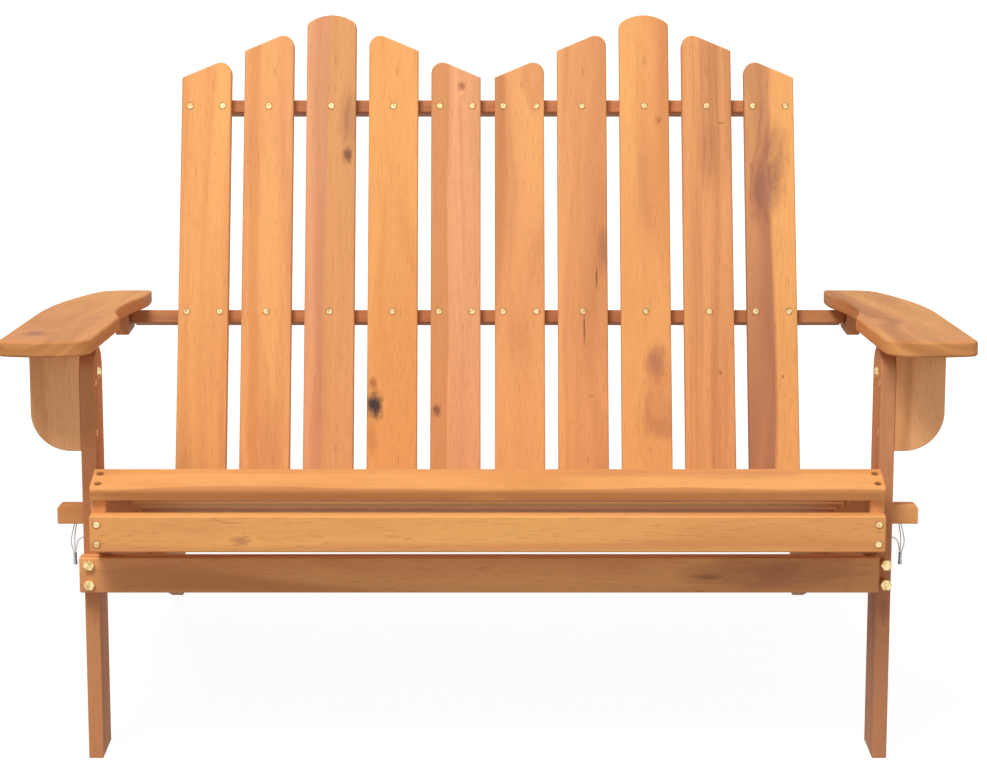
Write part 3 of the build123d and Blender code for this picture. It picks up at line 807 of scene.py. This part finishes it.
@dataclass(frozen=True)
class HeadShadeRims:
    """Dark rims of screw heads, which are painted shade: a flattened ring laid over each head's outer
    edge, where the countersink's shadow falls.

    screws and board are the CAD nodes, body is what they ride on and outward is the way that
    the board faces. Sizes are in metres.
    """

    screws: str
    board: str
    body: str
    outward: Vector
    ring_radius: float = 0.00470
    half_width: float = 0.00062
    half_height: float = 0.00050
    lift: float = 0.00035

    around = 28
    across = 8
    head_reach_in_rings = 3

    def middles(self) -> np.ndarray:
        """Find where the heads stand on the board's face.

        The screws' points beyond the face are laid onto it, and those near each other are one
        head, whose middle is the middle of their box.

        Returns:
            One row of XYZ for each head, in the plane of the board's face.
        """
        out = np.array(self.outward)
        face = (points_of(self.board) @ out).max()
        points = points_of(self.screws)
        points = points[points @ out > face]
        points -= (points @ out - face)[:, None] * out
        reach = self.head_reach_in_rings * self.ring_radius
        found = []
        while len(points):
            near = np.linalg.norm(points - points[0], axis=1) < reach
            found.append((points[near].min(0) + points[near].max(0)) / 2)
            points = points[~near]
        return np.array(found)

    def build(self, name: str, finish: Material) -> None:
        """Make all rims of one node's screws as a single piece.

        A rim is a circle carried round a circle: at each angle round the head, a small ellipse
        with half_width along the radius and half_height along the screw.

        Args:
            name: The piece's name.
            finish: Its material.
        """
        out = np.array(self.outward)
        side = np.array((1.0, 0.0, 0.0))
        up = np.cross(out, side)
        turn = np.linspace(0.0, 2 * math.pi, self.around, endpoint=False)[:, None, None]
        small = np.linspace(0.0, 2 * math.pi, self.across, endpoint=False)[None, :, None]
        radius = self.ring_radius + self.half_width * np.cos(small)
        ring = radius * (np.cos(turn) * side + np.sin(turn) * up)
        ring = ring + (self.lift + self.half_height * np.sin(small)) * out
        middles = self.middles()
        points = middles[:, None, None, :] + ring[None]
        start = np.arange(len(middles))[:, None, None] * self.around * self.across
        faces = grid_faces(self.around, self.across, True, True)[None] + start
        piece = mesh_piece(name, points, faces.reshape(-1, 4), finish, True)
        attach(piece, self.body)


@dataclass(frozen=True)
class BackFan:
    """The ten back slats in two fans with their rails, cheeks and screws."""

    slat_finishes: tuple[OiledAcacia, ...] = (
        OiledAcacia(Lay.BACK, Tone.GOLDEN, seed=1.1, pith=(0.12, 0.05), contrast=0.75),
        OiledAcacia(
            Lay.BACK, Tone.AMBER, seed=2.3, pith=(-0.01, 0.09), contrast=1.15,
            seams=(Seam(-0.024, -0.008, "D8894F", strength=0.45, soft=0.004),),
        ),
        OiledAcacia(
            Lay.BACK, Tone.ROSY, seed=3.7, pith=(-0.08, 0.10), contrast=0.8,
            knots=(
                Knot(0.026, 0.186, 0.0080, 1.7, "6A4038", dark=0.80, bend=0.010),
                Knot(0.028, 0.240, 0.011, 2.8, "84564A", dark=0.50, bend=0.004, fade=1.8, streaky=0.5),
            ),
            seams=(Seam(-0.008, 0.06, "DDA05C", strength=0.55, soft=0.0012),),
        ),
        OiledAcacia(
            Lay.BACK, Tone.HONEY, seed=4.9, pith=(0.02, 0.14), contrast=0.9,
            knots=(
                Knot(-0.026, -0.180, 0.0138, 1.5, "3E3436", dark=0.97, bend=0.014),
                Knot(-0.028, -0.146, 0.0070, 1.5, "9A5238", dark=0.60, bend=0.004),
                Knot(-0.030, -0.232, 0.010, 2.6, "A8603E", dark=0.30, bend=0.004),
            ),
        ),
        OiledAcacia(
            Lay.BACK, Tone.ROSY, seed=5.3, pith=(0.08, 0.08), contrast=0.8,
            knots=(
                Knot(-0.028, -0.166, 0.0072, 1.4, "7A4A42", dark=0.78, bend=0.010),
                Knot(0.010, 0.330, 0.0055, 1.4, "94523A", dark=0.65, bend=0.014),
            ),
            seams=(Seam(-0.06, -0.0078, "D08E54", strength=0.75, soft=0.0008),),
        ),
        OiledAcacia(Lay.BACK, Tone.AMBER, seed=6.1, pith=(0.01, 0.06), contrast=1.2),
        OiledAcacia(
            Lay.BACK, Tone.AMBER, seed=7.7, pith=(0.05, 0.10), contrast=1.0,
            knots=(
                Knot(0.012, -0.165, 0.005, 0.6, "9A5A38", dark=0.40, bend=0.004),
                Knot(0.031, 0.060, 0.0070, 3.5, "7E5046", dark=0.55, bend=0.004, fade=1.6, streaky=0.4),
                Knot(0.021, 0.014, 0.0016, 12.0, "5E3A30", dark=0.75, bend=0.001),
                Knot(0.002, -0.064, 0.0016, 17.0, "5E3A30", dark=0.75, bend=0.001),
            ),
        ),
        OiledAcacia(
            Lay.BACK, Tone.GOLDEN, seed=8.9, pith=(-0.02, 0.16), contrast=1.05,
            knots=(
                Knot(0.022, 0.240, 0.0035, 1.4, "9A6040", dark=0.55, bend=0.008),
                Knot(0.014, -0.130, 0.012, 1.7, "8E6058", dark=0.55, bend=0.010, fade=1.6, streaky=0.4),
                Knot(0.014, -0.205, 0.021, 2.0, "A2644E", dark=0.42, bend=0.006, fade=2.2, streaky=0.9),
                Knot(-0.002, 0.130, 0.010, 6.0, "B06C4E", dark=0.30, bend=0.003, fade=2.0, streaky=0.8),
            ),
        ),
        OiledAcacia(
            Lay.BACK, Tone.AMBER, seed=9.3, pith=(0.10, 0.04), contrast=1.0,
            knots=(
                Knot(0.014, 0.300, 0.022, 4.5, "9C6048", dark=0.40, bend=0.004, fade=2.0, streaky=0.7),
                Knot(0.002, 0.205, 0.010, 3.4, "9A5E48", dark=0.45, bend=0.004, fade=1.8, streaky=0.7),
                Knot(0.022, 0.252, 0.0050, 0.25, "6E4234", dark=0.60, bend=0.002),
                Knot(0.016, -0.130, 0.0022, 1.5, "7A4A38", dark=0.60, bend=0.003),
            ),
        ),
        OiledAcacia(
            Lay.BACK, Tone.RUSSET, seed=10.7, pith=(-0.06, 0.09), contrast=1.0,
            knots=(
                Knot(-0.004, 0.175, 0.017, 1.8, "7C4E50", dark=0.66, bend=0.016, fade=1.6, streaky=0.4),
                Knot(0.008, 0.225, 0.013, 2.6, "90584A", dark=0.55, bend=0.010, fade=1.8, streaky=0.6),
                Knot(0.014, -0.115, 0.0022, 1.5, "7A4A38", dark=0.60, bend=0.003),
            ),
            seams=(Seam(-0.001, 0.07, "F6B26A", strength=0.90, soft=0.004),),
        ),
    )
    # The rails' tones are darker than the slats'. This is partly their wood and partly painted shade
    # from the slats in front of them.
    rail_tones: tuple[tuple[str, Tone], ...] = (
        ("top_rail", Tone.SIENNA),
        ("mid_rail", Tone.UMBER),
        ("lower_back_rail", Tone.SIENNA),
    )
    rail_seed: float = 21.0
    cheek_seed: float = 31.0

    def boards(self) -> dict[str, OiledAcacia]:
        """Choose the boards' finishes.

        Returns:
            The finish of each wooden node, by its name.
        """
        finishes = {
            f"back_slat_{number:02d}": finish for number, finish in enumerate(self.slat_finishes, 1)
        }
        for step, (node, tone) in enumerate(self.rail_tones):
            finishes[node] = OiledAcacia(
                Lay.CROSS, tone, seed=self.rail_seed + step, pith=(0.05, 0.06), contrast=0.8
            )
        for side, sign in SIDES.items():
            finishes[f"hinge_cheek_{side}"] = OiledAcacia(
                Lay.BACK, Tone.AMBER, seed=self.cheek_seed + sign, pith=(0.02, 0.07)
            )
        return finishes

    def dress(self, brass: Material, painted_shade: Material) -> None:
        """Finish the boards and screws, and lay dark rims of painted shade round the screw heads.

        Args:
            brass: The finish of screws and bolts.
            painted_shade: The finish of the rims.
        """
        dress_boards(self.boards())
        dress(brass, "back_screws", "cheek_screws", "arm_pivot_bolts")
        outward = Vector((0.0, -math.cos(BACK_LEAN), math.sin(BACK_LEAN)))
        # The rims are painted shade: dark rings where the countersinks' shadow falls round the heads.
        HeadShadeRims("back_screws", "back_slat_01", "back", outward).build("back_screw_shade_rims", painted_shade)


@dataclass(frozen=True)
class SeatFrame:
    """The seat slats on their stringers with the nose, the apron, the stops and screws."""

    nose: OiledAcacia = OiledAcacia(
        Lay.NOSE, Tone.HONEY, seed=41.2, pith=(-0.02, -0.10), contrast=0.9,
        seams=(
            Seam(0.012, 0.04, "D48A52", strength=0.45, soft=0.003),
            Seam(-0.05, -0.0235, "B06C44", strength=0.55, soft=0.0008),
        ),
        knots=(
            Knot(0.008, 0.330, 0.008, 7.0, "9A5E4C", dark=0.42, bend=0.003, fade=2.0, streaky=0.7),
            Knot(0.014, 0.180, 0.006, 8.0, "A5664C", dark=0.35, bend=0.003, fade=2.0, streaky=0.7),
            Knot(-0.004, -0.170, 0.005, 9.0, "B8784C", dark=0.30, bend=0.003, fade=2.0, streaky=0.7),
        ),
    )
    apron: OiledAcacia = OiledAcacia(
        Lay.CROSS, Tone.HONEY, seed=43.9, pith=(0.03, 0.12), contrast=0.85,
        knots=(Knot(-0.008, -0.319, 0.0065, 2.2, "9A5E50", dark=0.45, bend=0.010),),
        seams=(Seam(-0.022, -0.012, "D68B58", strength=0.5, soft=0.004),),
    )
    slat_tones: tuple[Tone, ...] = (
        Tone.RUSSET, Tone.SIENNA, Tone.AMBER, Tone.GOLDEN, Tone.ROSY, Tone.AMBER,
    )
    slat_seed: float = 50.0
    slat_seed_step: float = 1.7
    stringer_seed: float = 61.0
    stop_seed: float = 66.0

    def boards(self) -> dict[str, OiledAcacia]:
        """Choose the boards' finishes.

        Returns:
            The finish of each wooden node, by its name.
        """
        finishes = {"seat_slat_01": self.nose, "apron": self.apron}
        for number, tone in enumerate(self.slat_tones, 2):
            finishes[f"seat_slat_{number:02d}"] = OiledAcacia(
                Lay.SEAT, tone, seed=self.slat_seed + self.slat_seed_step * number, pith=(0.02, 0.1)
            )
        for side, sign in SIDES.items():
            finishes[f"stringer_{side}"] = OiledAcacia(
                Lay.STRINGER, Tone.AMBER, seed=self.stringer_seed + sign, pith=(0.05, 0.08)
            )
            finishes[f"back_stop_{side}"] = OiledAcacia(
                Lay.STRINGER, Tone.AMBER, seed=self.stop_seed + sign, pith=(0.03, 0.06)
            )
        return finishes

    def dress(self, brass: Material, painted_shade: Material) -> None:
        """Finish the boards, screws and bolts, and lay dark rims of painted shade round the apron's
        screw heads.

        Args:
            brass: The finish of screws and bolts.
            painted_shade: The finish of the rims and of the slats' sunk screws.
        """
        dress_boards(self.boards())
        # The sunk slat screws take the same dark brown, as painted shade of their shaded holes.
        dress(painted_shade, "seat_screws")
        dress(brass, "apron_screws", "stop_screws", "back_pivot_bolts")
        forward = Vector((0.0, -1.0, 0.0))
        # The rims are painted shade: dark rings where the countersinks' shadow falls round the heads.
        HeadShadeRims("apron_screws", "apron", "seat_frame", forward).build("apron_screw_shade_rims", painted_shade)


@dataclass(frozen=True)
class ArmRests:
    """The two wide arms with the cleats below them. Pairs are left, then right."""

    arm_knots: tuple[tuple[Knot, ...], tuple[Knot, ...]] = (
        (
            Knot(-0.020, -0.255, 0.013, 2.0, "805058", dark=0.62, bend=0.016),
            Knot(0.030, -0.060, 0.012, 2.4, "B4684A", dark=0.35, bend=0.012),
        ),
        (Knot(-0.025, -0.100, 0.012, 2.2, "A05E44", dark=0.35, bend=0.014),),
    )
    board_finishes: tuple[tuple[str, Lay, Tone, float], ...] = (
        # The arms' darker tawny tone is partly their wood and partly painted shade, which keeps their
        # lit tops from coming out brighter than the seat.
        ("arm", Lay.ARM, Tone.TAWNY, 71.0),
        ("rear_cleat", Lay.REARWARD, Tone.RUSSET, 75.0),
        ("front_cleat", Lay.REARWARD, Tone.AMBER, 79.0),
    )
    pith_out: float = 0.03
    pith_below: float = -0.10

    def boards(self) -> dict[str, OiledAcacia]:
        """Choose the boards' finishes.

        Returns:
            The finish of each wooden node, by its name.
        """
        return {
            f"{name}_{side}": OiledAcacia(
                lay, tone, seed=seed + sign, pith=(self.pith_out * sign, self.pith_below),
                contrast=0.9, knots=knots if name == "arm" else (),
            )
            for (side, sign), knots in zip(SIDES.items(), self.arm_knots)
            for name, lay, tone, seed in self.board_finishes
        }

    def dress(self, brass: Material) -> None:
        """Finish the arms, cleats and screws, the screws in brass."""
        dress_boards(self.boards())
        dress(brass, "arm_screws")


@dataclass(frozen=True)
class FrontLegs:
    """The front legs, the board across them, the quarter-round brackets and the pegs.

    Pairs are left, then right.
    """

    stretcher: OiledAcacia = OiledAcacia(
        Lay.CROSS, Tone.AMBER, seed=84.0, pith=(0.02, 0.09), contrast=1.2,
        knots=(
            Knot(0.004, 0.400, 0.016, 5.0, "80504C", dark=0.42, bend=0.008, fade=1.8, streaky=0.6),
            Knot(-0.002, 0.300, 0.004, 5.0, "6E4238", dark=0.45, bend=0.006),
        ),
    )
    leg_tones: tuple[Tone, Tone] = (Tone.SIENNA, Tone.RUSSET)
    leg_knots: tuple[tuple[Knot, ...], tuple[Knot, ...]] = (
        (),
        (Knot(0.0, -0.072, 0.009, 2.6, "8A4E42", dark=0.45, bend=0.012),),
    )
    leg_seed: float = 87.0
    bracket_seed: float = 91.0
    peg_seed: float = 95.0

    def boards(self) -> dict[str, OiledAcacia]:
        """Choose the boards' finishes.

        Returns:
            The finish of each wooden node, by its name.
        """
        finishes = {"front_stretcher": self.stretcher}
        for (side, sign), tone, knots in zip(SIDES.items(), self.leg_tones, self.leg_knots):
            finishes[f"front_leg_{side}"] = OiledAcacia(
                Lay.UPRIGHT, tone, seed=self.leg_seed + sign, pith=(0.02, 0.08), contrast=0.9,
                knots=knots,
            )
            # The brackets' pale straw tone is painted light: it is lighter than their wood and makes up
            # for the arms' shade over them.
            finishes[f"arm_bracket_{side}"] = OiledAcacia(
                Lay.UPRIGHT, Tone.STRAW, seed=self.bracket_seed + sign, pith=(0.04, 0.07),
                contrast=0.9,
            )
            finishes[f"locking_peg_{side}"] = OiledAcacia(
                Lay.CROSS, Tone.GOLDEN, seed=self.peg_seed + sign, pith=(0.02, 0.05), contrast=0.6
            )
        return finishes

    def dress(self, brass: Material) -> None:
        """Finish the boards, pegs, screws and bolts, the last two in brass."""
        dress_boards(self.boards())
        dress(brass, "bracket_screws", "stretcher_bolts", "leg_pivot_bolts")


@dataclass(frozen=True)
class Strand:
    """One run of cord, with its real length in metres.

    Its control points are millimetres outward, rearward and up from where the peg enters the
    leg. stands_for names the CAD node that it replaces, without its side, or nothing.
    """

    name: str
    points: tuple[Point, ...]
    length: float
    stands_for: str = ""


@dataclass(frozen=True)
class PegCords:
    """The short cords that keep the pegs, each with its ferrule. Sizes are in metres."""

    diameter: float = 0.0016
    entry: Point = (0.5335, -0.2975, 0.3290)
    strands: tuple[Strand, ...] = (
        Strand(
            "cord_from_leg",
            ((0.3, 0.0, -31.5), (8.5, -0.6, -33.5), (14.8, -0.8, -39.5), (16.25, -0.55, -54.1)),
            0.0313,
        ),
        Strand(
            "cord_outer",
            ((16.3, -1.7, -13.3), (20.7, -2.1, -28.0), (22.5, -1.8, -43.0), (18.15, -0.55, -54.1)),
            0.0422,
            "peg_cord",
        ),
        Strand(
            "cord_inner",
            ((14.1, 1.7, -13.3), (17.1, 2.3, -26.5), (18.1, 2.0, -40.0), (17.2, 1.1, -54.1)),
            0.0412,
        ),
    )
    ferrule_out: float = 0.0172
    ferrule_drop: float = 0.0544
    ferrule_length: float = 0.0140
    ferrule_radius: float = 0.0024
    ball_radius: float = 0.0030
    press_width: float = 0.0008
    lip_height: float = 0.0001

    # Shares of the ferrule's length, then of its radius, then of its ball's radius.
    press_place_shares = (0.28, 0.56)
    press_depth_share = 0.16
    lip_radius_share = 0.82
    sleeve_end_share = 0.6
    ball_start_share = 0.78
    # How finely the ferrule and the cords are divided.
    sleeve_rows = 30
    ball_rows = 18
    ferrule_columns = 32
    cord_roundness = 4
    cord_steps = 16

    def place(self, point: Point, sign: float) -> Point:
        """Turn a point of a strand into metres in the shared frame.

        Args:
            point: Millimetres outward, rearward and up from the peg's entry.
            sign: Minus one on the left and one on the right.

        Returns:
            Its XYZ in metres.
        """
        out, back, up = (start + away / MM_PER_METRE for start, away in zip(self.entry, point))
        return (sign * out, back, up)

    def strand(self, name: str, points: tuple[Point, ...], finish: Material) -> bpy.types.Object:
        """Make one strand as a round curve through control points of a smooth spline.

        Args:
            name: The piece's name.
            points: Its control points in metres.
            finish: Its material.

        Returns:
            The curve object.
        """
        curve = bpy.data.curves.new(name, "CURVE")
        curve.dimensions = "3D"
        curve.bevel_depth = self.diameter / 2
        curve.bevel_resolution = self.cord_roundness
        curve.resolution_u = self.cord_steps
        curve.use_fill_caps = True
        spline = curve.splines.new("NURBS")
        spline.points.add(len(points) - 1)
        for control, point in zip(spline.points, points):
            control.co = (*point, 1.0)
        spline.order_u = 3
        spline.use_endpoint_u = True
        curve.materials.append(finish)
        piece = bpy.data.objects.new(name, curve)
        bpy.context.scene.collection.objects.link(piece)
        LOG.info("made %s", name)
        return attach(piece, "front_legs")

    def ferrule(self, side: str, sign: float, finish: Material) -> bpy.types.Object:
        """Make a ferrule as a profile turned about its upright axis.

        Down the sleeve, the radius dips at two pressed rings, each a bell curve of the distance
        from its middle. The foot is a ball, whose circle starts a little inside the sleeve.

        Args:
            side: Left or right.
            sign: Minus one on the left and one on the right.
            finish: Its material.

        Returns:
            The ferrule.
        """
        length, sleeve, ball = self.ferrule_length, self.ferrule_radius, self.ball_radius
        down = np.linspace(0.0, length - self.sleeve_end_share * ball, self.sleeve_rows)
        press = sum(
            np.exp(-(((down - share * length) / self.press_width) ** 2))
            for share in self.press_place_shares
        )
        sleeve_radius = sleeve * (1.0 - self.press_depth_share * press)
        turn = np.linspace(math.asin(self.ball_start_share), -math.pi / 2, self.ball_rows)
        ball_radius, ball_down = ball * np.cos(turn), length - ball * np.sin(turn)
        top_radius = [0.0, self.lip_radius_share * sleeve]
        profile_radius = np.concatenate([top_radius, sleeve_radius, ball_radius])
        profile_down = np.concatenate([[0.0, 0.0], down + self.lip_height, ball_down])
        angle = np.linspace(0.0, 2 * math.pi, self.ferrule_columns, endpoint=False)
        out, back, up = self.entry
        x = sign * (out + self.ferrule_out) + profile_radius[:, None] * np.cos(angle)
        y = back + profile_radius[:, None] * np.sin(angle)
        z = np.broadcast_to((up - self.ferrule_drop - profile_down)[:, None], x.shape)
        grid = np.stack([x, y, z], axis=-1)
        faces = grid_faces(len(profile_radius), self.ferrule_columns, False, True)
        piece = mesh_piece(f"ferrule_{side}", grid, faces, finish, True)
        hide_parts(f"cord_ferrule_{side}")
        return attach(piece, "front_legs")

    def build(self) -> None:
        wire = TwistedWire("galvanised_wire").paint()
        zinc = CrimpedFerrule("pressed_zinc").paint()
        for side, sign in SIDES.items():
            ferrule = self.ferrule(side, sign, zinc)
            for strand in self.strands:
                points = tuple(self.place(point, sign) for point in strand.points)
                piece = self.strand(f"{strand.name}_{side}", points, wire)
                if strand.stands_for:
                    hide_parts(f"{strand.stands_for}_{side}")


@dataclass(frozen=True)
class SoftLamp:
    """A square lamp: its place and side in metres, and its power in watts."""

    name: str
    place: Point
    power: float
    side: float


@dataclass(frozen=True)
class Studio:
    """White studio: pale floor, soft lamps and the photograph's camera."""

    camera_place: Point = (0.0, -3.5759, 1.2252)
    pitch: float = math.radians(9.244)
    lens: float = 92.578
    sensor_width: float = 36.0
    shift: tuple[float, float] = (0.00588, -0.15)
    floor_half: float = 14.0
    floor_drop: float = 0.0005
    floor_grey: str = "B0B0B0"
    floor_white: str = "FFFFFF"
    floor_strength: float = 1.215
    near_glow: float = 0.78
    near_reach: float = 0.9
    far_reach: float = 2.4
    room_white: str = "FFFFFF"
    fill_strength: float = 0.43
    aim: Point = (0.0, 0.0, 0.45)
    lamps: tuple[SoftLamp, ...] = (
        SoftLamp("key_lamp", (-1.2, -2.65, 4.45), 191.0, 1.8),
        SoftLamp("side_lamp", (2.4, -3.2, 1.6), 15.28, 2.0),
    )

    def set_camera(self) -> None:
        """Set up the camera at the photograph's view."""
        data = bpy.data.cameras.new("photograph_view")
        data.lens = self.lens
        data.sensor_width = self.sensor_width
        data.shift_x, data.shift_y = self.shift
        camera = bpy.data.objects.new("photograph_view", data)
        camera.location = self.camera_place
        camera.rotation_euler = (math.pi / 2 - self.pitch, 0.0, 0.0)
        bpy.context.scene.collection.objects.link(camera)
        bpy.context.scene.camera = camera

    def seen_share(self, made: Finish) -> Socket:
        """Tell what is looked at from light that falls on things.

        Args:
            made: The material's or world's nodes.

        Returns:
            One for what the camera, gloss or glass sees, and zero otherwise.
        """
        path = made.add("ShaderNodeLightPath").node
        share = path.outputs["Is Camera Ray"]
        for ray in ("Is Glossy Ray", "Is Transmission Ray"):
            share = made.add(
                "ShaderNodeMath", {0: share, 1: path.outputs[ray]}, operation="MAXIMUM"
            )
        return share

    def lay_floor(self) -> None:
        """Lay a matt floor, which is seen white and keeps a faint shadow near the seat."""
        half = self.floor_half
        corners = np.array([[x, y, -self.floor_drop] for y in (-half, half) for x in (-half, half)])
        made = Finish(bpy.data.materials.new("white_floor"))
        place = made.add("ShaderNodeTexCoord", out="Object")
        away = made.add("ShaderNodeVectorMath", {0: place}, out="Value", operation="LENGTH")
        near_share = made.add(
            "ShaderNodeMapRange",
            {
                "Value": away, "From Min": self.near_reach, "From Max": self.far_reach,
                "To Min": self.near_glow, "To Max": 1.0,
            },
            interpolation_type="SMOOTHSTEP",
        )
        glow = made.add(
            "ShaderNodeMath", {0: self.seen_share(made), 1: near_share}, operation="MULTIPLY"
        )
        matt = made.add("ShaderNodeBsdfDiffuse", {"Color": linear(self.floor_grey)})
        shine = {"Color": linear(self.floor_white), "Strength": self.floor_strength}
        white = made.add("ShaderNodeEmission", shine)
        both = made.add("ShaderNodeMixShader", {0: glow, 1: matt, 2: white})
        made.add("ShaderNodeOutputMaterial", {"Surface": both})
        mesh_piece("floor", corners, grid_faces(2, 2, False, False), made.owner, False)

    def light_room(self) -> None:
        """Light the room evenly and show it white."""
        world = bpy.data.worlds.new("white_room")
        bpy.context.scene.world = world
        made = Finish(world)
        colour = linear(self.room_white)
        soft, white = (
            made.add("ShaderNodeBackground", {"Color": colour, "Strength": strength})
            for strength in (self.fill_strength, 1.0)
        )
        both = made.add("ShaderNodeMixShader", {0: self.seen_share(made), 1: soft, 2: white})
        made.add("ShaderNodeOutputWorld", {"Surface": both})

    def hang_lamps(self) -> None:
        """Hang a large soft key lamp at the upper left front and a weaker one at the right."""
        for soft in self.lamps:
            data = bpy.data.lights.new(soft.name, "AREA")
            data.energy, data.size = soft.power, soft.side
            lamp = bpy.data.objects.new(soft.name, data)
            lamp.location = soft.place
            way = Vector(self.aim) - Vector(soft.place)
            lamp.rotation_euler = way.to_track_quat("-Z", "Y").to_euler()
            bpy.context.scene.collection.objects.link(lamp)

    def build(self) -> None:
        """Set up the camera, the floor, the room and the lamps."""
        self.set_camera()
        self.lay_floor()
        self.light_room()
        self.hang_lamps()
        bpy.context.scene.view_settings.view_transform = "Standard"
        LOG.info("set up the studio")


def main() -> None:
    """Build everything in order."""
    logging.basicConfig(level=logging.INFO, format="%(message)s")
    Studio().build()
    PegCords().build()
    brass = TurnedBrass("turned_brass").paint()
    # A dark brown metal that hardly gleams, as painted shade: rims where the countersinks' shadow falls
    # round the heads, and the slats' sunk screws in their shaded holes.
    painted_shade = TurnedBrass(
        "painted_shade_brass", bright="B0784E", dull="8C5A3C", roughness=0.5, metallic=0.35
    ).paint()
    BackFan().dress(brass, painted_shade)
    SeatFrame().dress(brass, painted_shade)
    ArmRests().dress(brass)
    FrontLegs().dress(brass)


if __name__ == "__main__":
    main()
